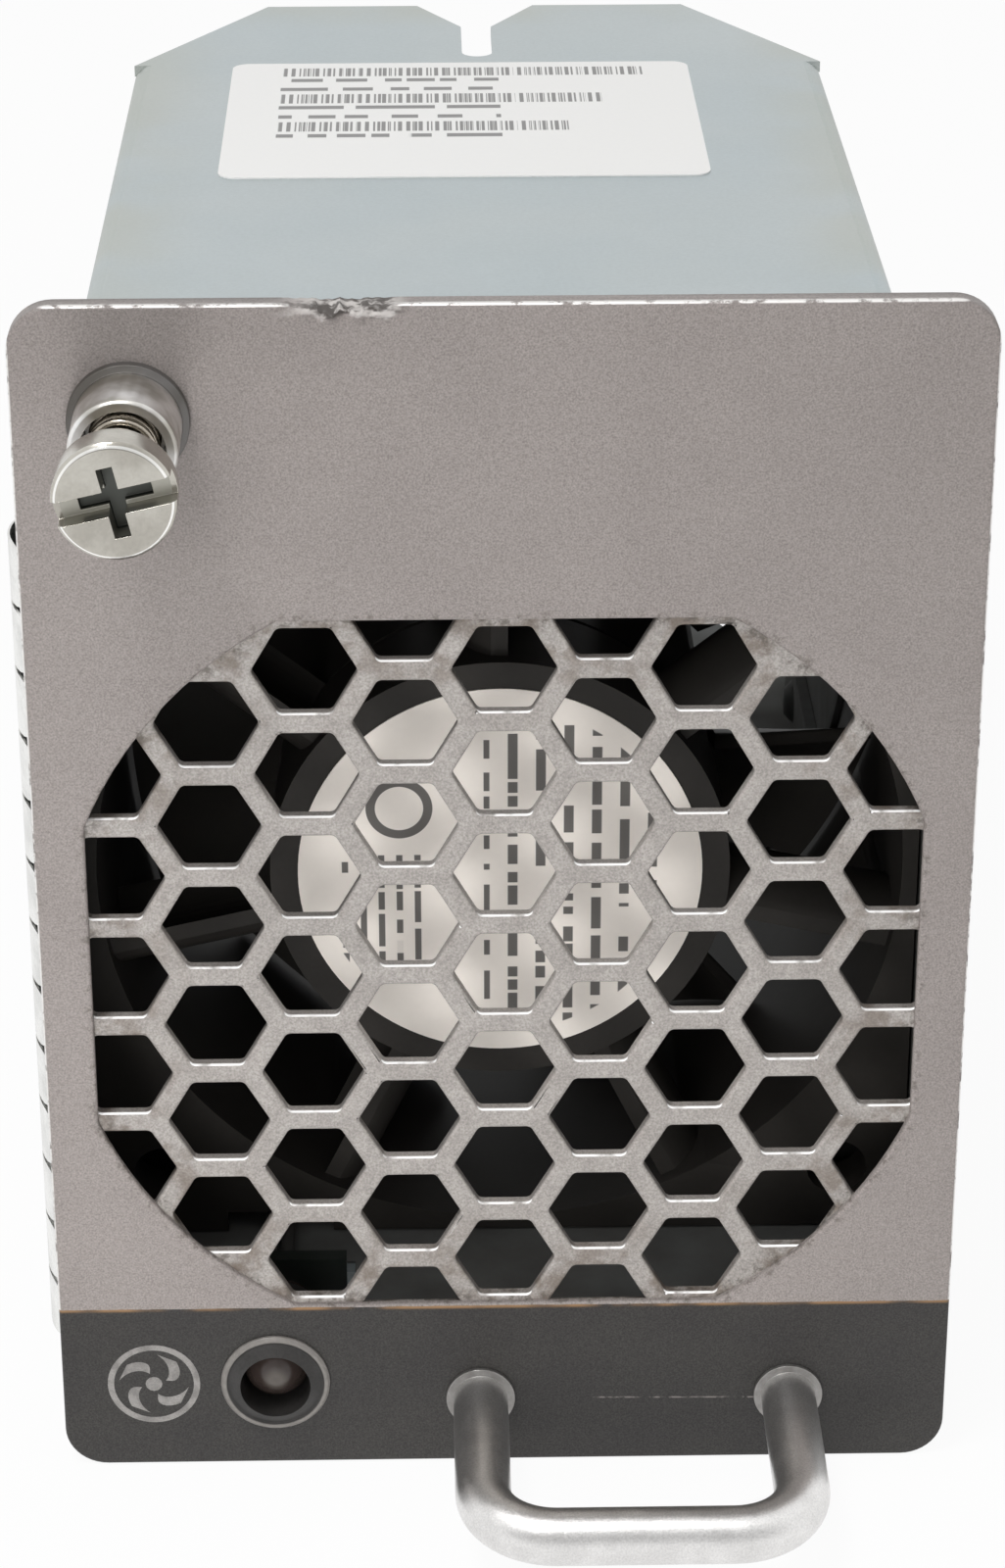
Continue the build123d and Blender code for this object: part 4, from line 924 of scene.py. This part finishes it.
def sleeve_metal():
    """Nickel on the ferrule, dull on the flange at its foot."""
    material, tree, shader = new_material("sleeve_metal", metallic=1.0)
    x, y, z = places_mm(tree)
    colour, grain = speckled(tree, SLEEVE, NICKEL_SHADE, patch_mm=4.0, grain_mm=0.25, specks=0.20)
    reach = distance_from(tree, x, z, screw_x, screw_z)
    foot = fade_near(tree, y, panel_front_mm, FOOT_DEPTH_MM)
    foot = all_of(tree, foot, fade(tree, reach, *FOOT_INNER_MM))
    colour = mixed(tree, all_of(tree, foot, FOOT_SHARE), colour, SLEEVE_FOOT)
    smoothest, rougher = SLEEVE_ROUGHNESS
    set_surface(tree, shader, colour, raised(tree, smoothest, foot, rougher))
    set_relief(tree, shader, grain, depth_mm=0.006, strength=0.4)
    return material


def coil_spring():
    """Round wire wound about the screw's neck, its end turns closed."""
    line = bpy.data.curves.new("spring_wire", "CURVE")
    line.dimensions = "3D"
    line.bevel_depth = SPRING_WIRE_MM / 2 * MM
    line.bevel_resolution = SPRING_WIRE_ROUNDNESS
    line.use_fill_caps = True
    wire = line.splines.new("POLY")
    steps = int(SPRING_TURNS * STEPS_PER_TURN)
    wire.points.add(steps)
    radius = (spring_high.x - spring_low.x) / 2 - SPRING_WIRE_MM / 2 * MM
    front = spring_low.y + SPRING_WIRE_MM / 2 * MM
    length = spring_high.y - spring_low.y - SPRING_WIRE_MM * MM
    for step, point in enumerate(wire.points):
        share = step / steps
        turn = share * SPRING_TURNS * 2 * math.pi
        closed = share - math.sin(4 * math.pi * share) / (4 * math.pi) * SPRING_CLOSED_ENDS
        x = screw_x + radius * math.cos(turn)
        z = screw_z + radius * math.sin(turn)
        point.co = (x, front + length * closed, z, 1.0)
    curve = bpy.data.objects.new("spring_curve", line)
    bpy.context.scene.collection.objects.link(curve)
    shape = bmesh.new()
    shape.from_mesh(bpy.data.meshes.new_from_object(curve))
    bpy.data.objects.remove(curve)
    return piece_of(shape, "spring", sharp_degrees=SPRING_SHARP_DEGREES)


dress("captive_screw", "screw", 0.07, screw_nickel(), "nickel", "captive_screw")
dress("screw_ferrule", "ferrule", 0.06, sleeve_metal(), "nickel")
dress("thrust_washer", "washer", 0.05, steel, "steel", "screw_carrier")
spring = coil_spring()
finish(spring, bare_metal("spring_steel", SPRING_STEEL, 0.28), "steel", "tray", "screw_spring")
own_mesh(spring)


# Status lamp
# A smoked lamp set back in a dark bezel with a thin worn rim. It is soldered to a small board
# behind the panel.
BEZEL = (0.034, 0.032, 0.031, 1.0)
BEZEL_SHADE = (0.026, 0.025, 0.024, 1.0)
BEZEL_RIM = (0.230, 0.215, 0.200, 1.0)
BEZEL_RIM_MM = (-0.46, -0.36)
BEZEL_WEAR = (0.55, 0.6)
SMOKED = (0.036, 0.026, 0.023, 1.0)
SMOKED_SHADE = (0.030, 0.022, 0.019, 1.0)
# A painted highlight in the lens's middle.
LENS_HIGHLIGHT = (0.090, 0.078, 0.068, 1.0)
LENS_HIGHLIGHT_MM = (1.15, 0.35)
LENS_HIGHLIGHT_LOWER_MM = 0.1
holder_low, holder_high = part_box("led_holder")
lamp_x = (holder_low.x + holder_high.x) / 2
lamp_z = (holder_low.z + holder_high.z) / 2
lamp_rim_mm = (holder_high.x - holder_low.x) / 2 / MM


def bezel_metal():
    material, tree, shader = new_material("bezel_metal", roughness=0.42, metallic=0.2)
    x, _, z = places_mm(tree)
    colour, grain = speckled(tree, BEZEL, BEZEL_SHADE, patch_mm=2.0, grain_mm=0.18, specks=0.70)
    rim = fade_near(tree, distance_from(tree, x, z, lamp_x, lamp_z), lamp_rim_mm, BEZEL_RIM_MM)
    least, more = BEZEL_WEAR
    worn = raised(tree, least, noise(tree, 0.5, detail=4.0, roughness=0.65), more)
    colour = mixed(tree, all_of(tree, rim, worn), colour, BEZEL_RIM)
    set_surface(tree, shader, colour)
    set_relief(tree, shader, grain, depth_mm=0.02, strength=0.6)
    return material


def smoked_lens():
    material, tree, shader = new_material("smoked_lens", roughness=0.22)
    x, _, z = places_mm(tree)
    colour, _ = speckled(tree, SMOKED, SMOKED_SHADE, patch_mm=1.5, grain_mm=0.6, specks=0.1)
    # A painted highlight, lighter in the lens's middle and a little below its centre.
    reach = distance_from(tree, x, z, lamp_x, lamp_z - LENS_HIGHLIGHT_LOWER_MM * MM)
    set_surface(tree, shader, mixed(tree, fade(tree, reach, *LENS_HIGHLIGHT_MM), colour, LENS_HIGHLIGHT))
    return material


dress("led_holder", "bezel", 0.05, bezel_metal(), "lamp_bezel")
dress("status_led", "lamp", 0.0, smoked_lens(), "lamp_lens")


# Fan
# A moulded black housing with a round label on its motor hub; seven blades turn behind it. What
# closes round the motor is hardly seen, and keeps its plain solids with their own finishes.
HUB_LABEL = (0.97, 0.905, 0.835, 1.0)
HUB_CLEAR_MM = (-1.4, -1.5)
HUB_BARS_MM = {"row": 2.0, "word": 1.1, "x": (-1.2, 12.0)}
HUB_SMALL_BARS_MM = {"row": 1.3, "word": 0.9, "x": (-11.5, -5.0), "z": (-9.0, 1.5)}
HUB_RING_AT_MM = (-7.2, 5.2)
HUB_RING_OUTER_MM = (2.4, 2.36)
HUB_RING_INNER_MM = (1.7, 1.74)
HUB_PRINT_SHARE = 0.88
COVER_LABEL = (0.93, 0.925, 0.91, 1.0)
COVER_STRIPES_PER_MM = 2.8
COVER_STRIPE_CONTRAST = (0.49, 0.51)
COVER_STRIPE_ROWS_MM = ((1.6, 4.2, 37.0), (9.8, 12.6, 33.0), (18.2, 21.0, 30.0))
COVER_BARS_MM = {"row": 2.8, "word": 2.0, "x": (4.5, 24.0), "end": 23.8, "clear": 0.2}
COVER_PRINT_SHARE = 0.80
PRINT = (0.045, 0.043, 0.042, 1.0)
PLASTIC_DARKER = 0.90
PRINT_EDGE_MM = 0.04
BAR_EDGES = ((0.25, 0.29), (0.64, 0.60))
BAR_SPACES = (0.44, 0.45)
BAR_ROW_SHIFT = 7.31
label_low, label_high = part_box("fan_label")
sticker_low, sticker_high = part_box("cover_sticker")


def plain_finish(name, colour, roughness, specular=0.5):
    """A finish that varies a little in tone and has a fine relief."""
    material, tree, shader = new_material(name, roughness=roughness, specular=specular)
    shade = darker(colour, PLASTIC_DARKER)
    tone, grain = speckled(tree, colour, shade, patch_mm=4.0, grain_mm=0.3, specks=0.2)
    set_surface(tree, shader, tone)
    set_relief(tree, shader, grain, depth_mm=0.012, strength=0.5)
    return material


def bars_group():
    """Rows of plain bars: U runs along a row and V across the rows, in millimetres."""
    inputs = {"U": "Float", "V": "Float", "Row": "Float", "Word": "Float"}
    group, given, result = new_group("plain bars", inputs, {"Mask": "Float"})
    rows = calc(group, "DIVIDE", given["V"], given["Row"])
    across = calc(group, "FRACT", rows)
    start, end = BAR_EDGES
    inside = all_of(group, fade(group, across, *start), fade(group, across, *end))
    words = calc(group, "DIVIDE", given["U"], given["Word"])
    shift = calc(group, "MULTIPLY", calc(group, "FLOOR", rows), BAR_ROW_SHIFT)
    place = node(group, "CombineXYZ", {"X": words, "Y": shift}).outputs[0]
    spaces = node(group, "TexNoise", {"Vector": place, "Scale": 1.0, "Detail": 0.0}).outputs["Fac"]
    group.links.new(all_of(group, inside, fade(group, spaces, *BAR_SPACES)), result["Mask"])
    return group


PLAIN_BARS = bars_group()


def bars(tree, along, across, row_mm, word_mm):
    """The plain bars in one material."""
    inputs = {"U": along, "V": across, "Row": row_mm, "Word": word_mm}
    return node(tree, "Group", inputs, node_tree=PLAIN_BARS).outputs["Mask"]


def between(tree, value, low, high):
    """1 between two places, with edges as sharp as print."""
    start = fade(tree, value, low, low + PRINT_EDGE_MM)
    return all_of(tree, start, fade(tree, value, high, high - PRINT_EDGE_MM))


def hub_label():
    """Off-white paper with bars in upright rows and a ring, kept clear of the edge."""
    material, tree, shader = new_material("hub_label", roughness=0.45, specular=0.3)
    x, _, z = places_mm(tree)
    paper, grain = speckled(tree, HUB_LABEL, HUB_LABEL, patch_mm=6.0, grain_mm=0.5, specks=0.04)
    centre_z = (label_low.z + label_high.z) / 2
    reach = distance_from(tree, x, z, 0.0, centre_z)
    clear = fade_near(tree, reach, label_high.x / MM, HUB_CLEAR_MM)
    big, small = HUB_BARS_MM, HUB_SMALL_BARS_MM
    right = all_of(tree, bars(tree, z, x, big["row"], big["word"]), between(tree, x, *big["x"]))
    left = all_of(tree, bars(tree, z, x, small["row"], small["word"]), between(tree, x, *small["x"]))
    left = all_of(tree, left, between(tree, calc(tree, "SUBTRACT", z, centre_z / MM), *small["z"]))
    ring_x, ring_z = HUB_RING_AT_MM
    ring = distance_from(tree, x, z, ring_x * MM, centre_z + ring_z * MM)
    ring = all_of(tree, fade(tree, ring, *HUB_RING_OUTER_MM), fade(tree, ring, *HUB_RING_INNER_MM))
    printed = calc(tree, "MAXIMUM", right, left, ring)
    set_surface(tree, shader, mixed(tree, all_of(tree, printed, clear, HUB_PRINT_SHARE), paper, PRINT))
    set_relief(tree, shader, grain, depth_mm=0.01, strength=0.2)
    return material


def cover_label():
    """White film with rows of bars and three rows of upright stripes."""
    material, tree, shader = new_material("cover_label", roughness=0.38, specular=0.4)
    x, y, _ = places_mm(tree)
    film, grain = speckled(tree, COVER_LABEL, COVER_LABEL, patch_mm=6.0, grain_mm=0.5, specks=0.03)
    right = calc(tree, "SUBTRACT", x, sticker_low.x / MM)
    down = calc(tree, "SUBTRACT", sticker_high.y / MM, y)
    inputs = {"W": calc(tree, "MULTIPLY", right, COVER_STRIPES_PER_MM), "Scale": 1.0, "Detail": 1.0}
    stripes = node(tree, "TexNoise", inputs, noise_dimensions="1D").outputs["Fac"]
    stripes = fade(tree, stripes, *COVER_STRIPE_CONTRAST)
    first_row = COVER_STRIPE_ROWS_MM[0][1]
    left, end = COVER_BARS_MM["x"]
    below = calc(tree, "SUBTRACT", down, first_row)
    words = bars(tree, right, below, COVER_BARS_MM["row"], COVER_BARS_MM["word"])
    words = all_of(tree, words, between(tree, right, left, end))
    printed = all_of(tree, words, between(tree, down, first_row, COVER_BARS_MM["end"]))
    for top, bottom, stripes_end in COVER_STRIPE_ROWS_MM:
        row = between(tree, down, top - COVER_BARS_MM["clear"], bottom)
        striped = all_of(tree, stripes, between(tree, down, top, bottom))
        striped = all_of(tree, striped, between(tree, right, left, stripes_end))
        printed = all_of(tree, printed, calc(tree, "SUBTRACT", 1.0, row))
        printed = calc(tree, "MAXIMUM", printed, striped)
    set_surface(tree, shader, mixed(tree, all_of(tree, printed, COVER_PRINT_SHARE), film, PRINT))
    set_relief(tree, shader, grain, depth_mm=0.01, strength=0.2)
    return material


black_plastic = plain_finish("fan_black", (0.034, 0.031, 0.028, 1.0), 0.50, specular=0.25)
dress("fan_frame", "fan_housing", 0.15, black_plastic, "fan_plastic")
dress("fan_rotor", "fan_wheel", 0.0, black_plastic, "fan_plastic", "rotor")
board_dark = plain_finish("board_dark", (0.014, 0.018, 0.015, 1.0), 0.45)
magnet_grey = plain_finish("magnet_grey", (0.06, 0.06, 0.065, 1.0), 0.50)
brass = bare_metal("brass_metal", (0.70, 0.55, 0.28, 1.0), 0.30)
core_metal = bare_metal("core_metal", (0.35, 0.35, 0.36, 1.0), 0.42)
copper = bare_metal("copper_metal", (0.72, 0.38, 0.20, 1.0), 0.30)
gold = bare_metal("gold_plate", (0.83, 0.66, 0.32, 1.0), 0.22)
tinned = bare_metal("tinned_wire", (0.70, 0.70, 0.70, 1.0), 0.25)
plain_nodes = {
    "fan_label": hub_label(), "motor_board": board_dark, "bearing_tube": brass,
    "bearing_outer_rings": steel, "bearing_inner_rings": steel, "stator_core": core_metal,
    "stator_windings": copper, "rotor_magnet": magnet_grey, "rotor_yoke": core_metal,
    "rotor_bushing": brass, "fan_shaft": steel, "shaft_clip": steel, "led_pins": tinned,
    "led_board": board_dark, "connector_pins": gold, "cover_sticker": cover_label(),
}
for name, material in plain_nodes.items():
    for place in nodes[name].material_slots:
        place.material = material


# Bulkhead, leads and rear plug
# The bulkhead is a zinc plated plate that carries the fan on four screws. Six leads run in nylon
# saddles along the floor to a shrouded plug, which a bracket holds to the floor's tongue.
lead_black = plain_finish("lead_black", (0.060, 0.058, 0.056, 1.0), 0.40)
nylon = plain_finish("nylon", (0.42, 0.41, 0.38, 1.0), 0.45)
plug_black = plain_finish("plug_black", (0.022, 0.022, 0.024, 1.0), 0.45)
dress("fan_bulkhead", "bulkhead", SHEET_EDGE_MM, zinc, "zinc_steel")
dress("fan_screws", "bulkhead_screws", 0.10, steel, "steel")
dress("fan_leads", "leads_to_fan", 0.0, lead_black, "lead_insulation")
dress("led_wires", "leads_to_lamp", 0.0, lead_black, "lead_insulation")
dress("wire_clips", "saddles", 0.12, nylon, "clip_nylon")
dress("rear_connector", "plug_shroud", 0.10, plug_black, "connector_plastic")
dress("connector_bracket", "plug_bracket", 0.10, zinc, "zinc_steel")
dress("bracket_screws", "plug_screws", 0.08, steel, "steel")
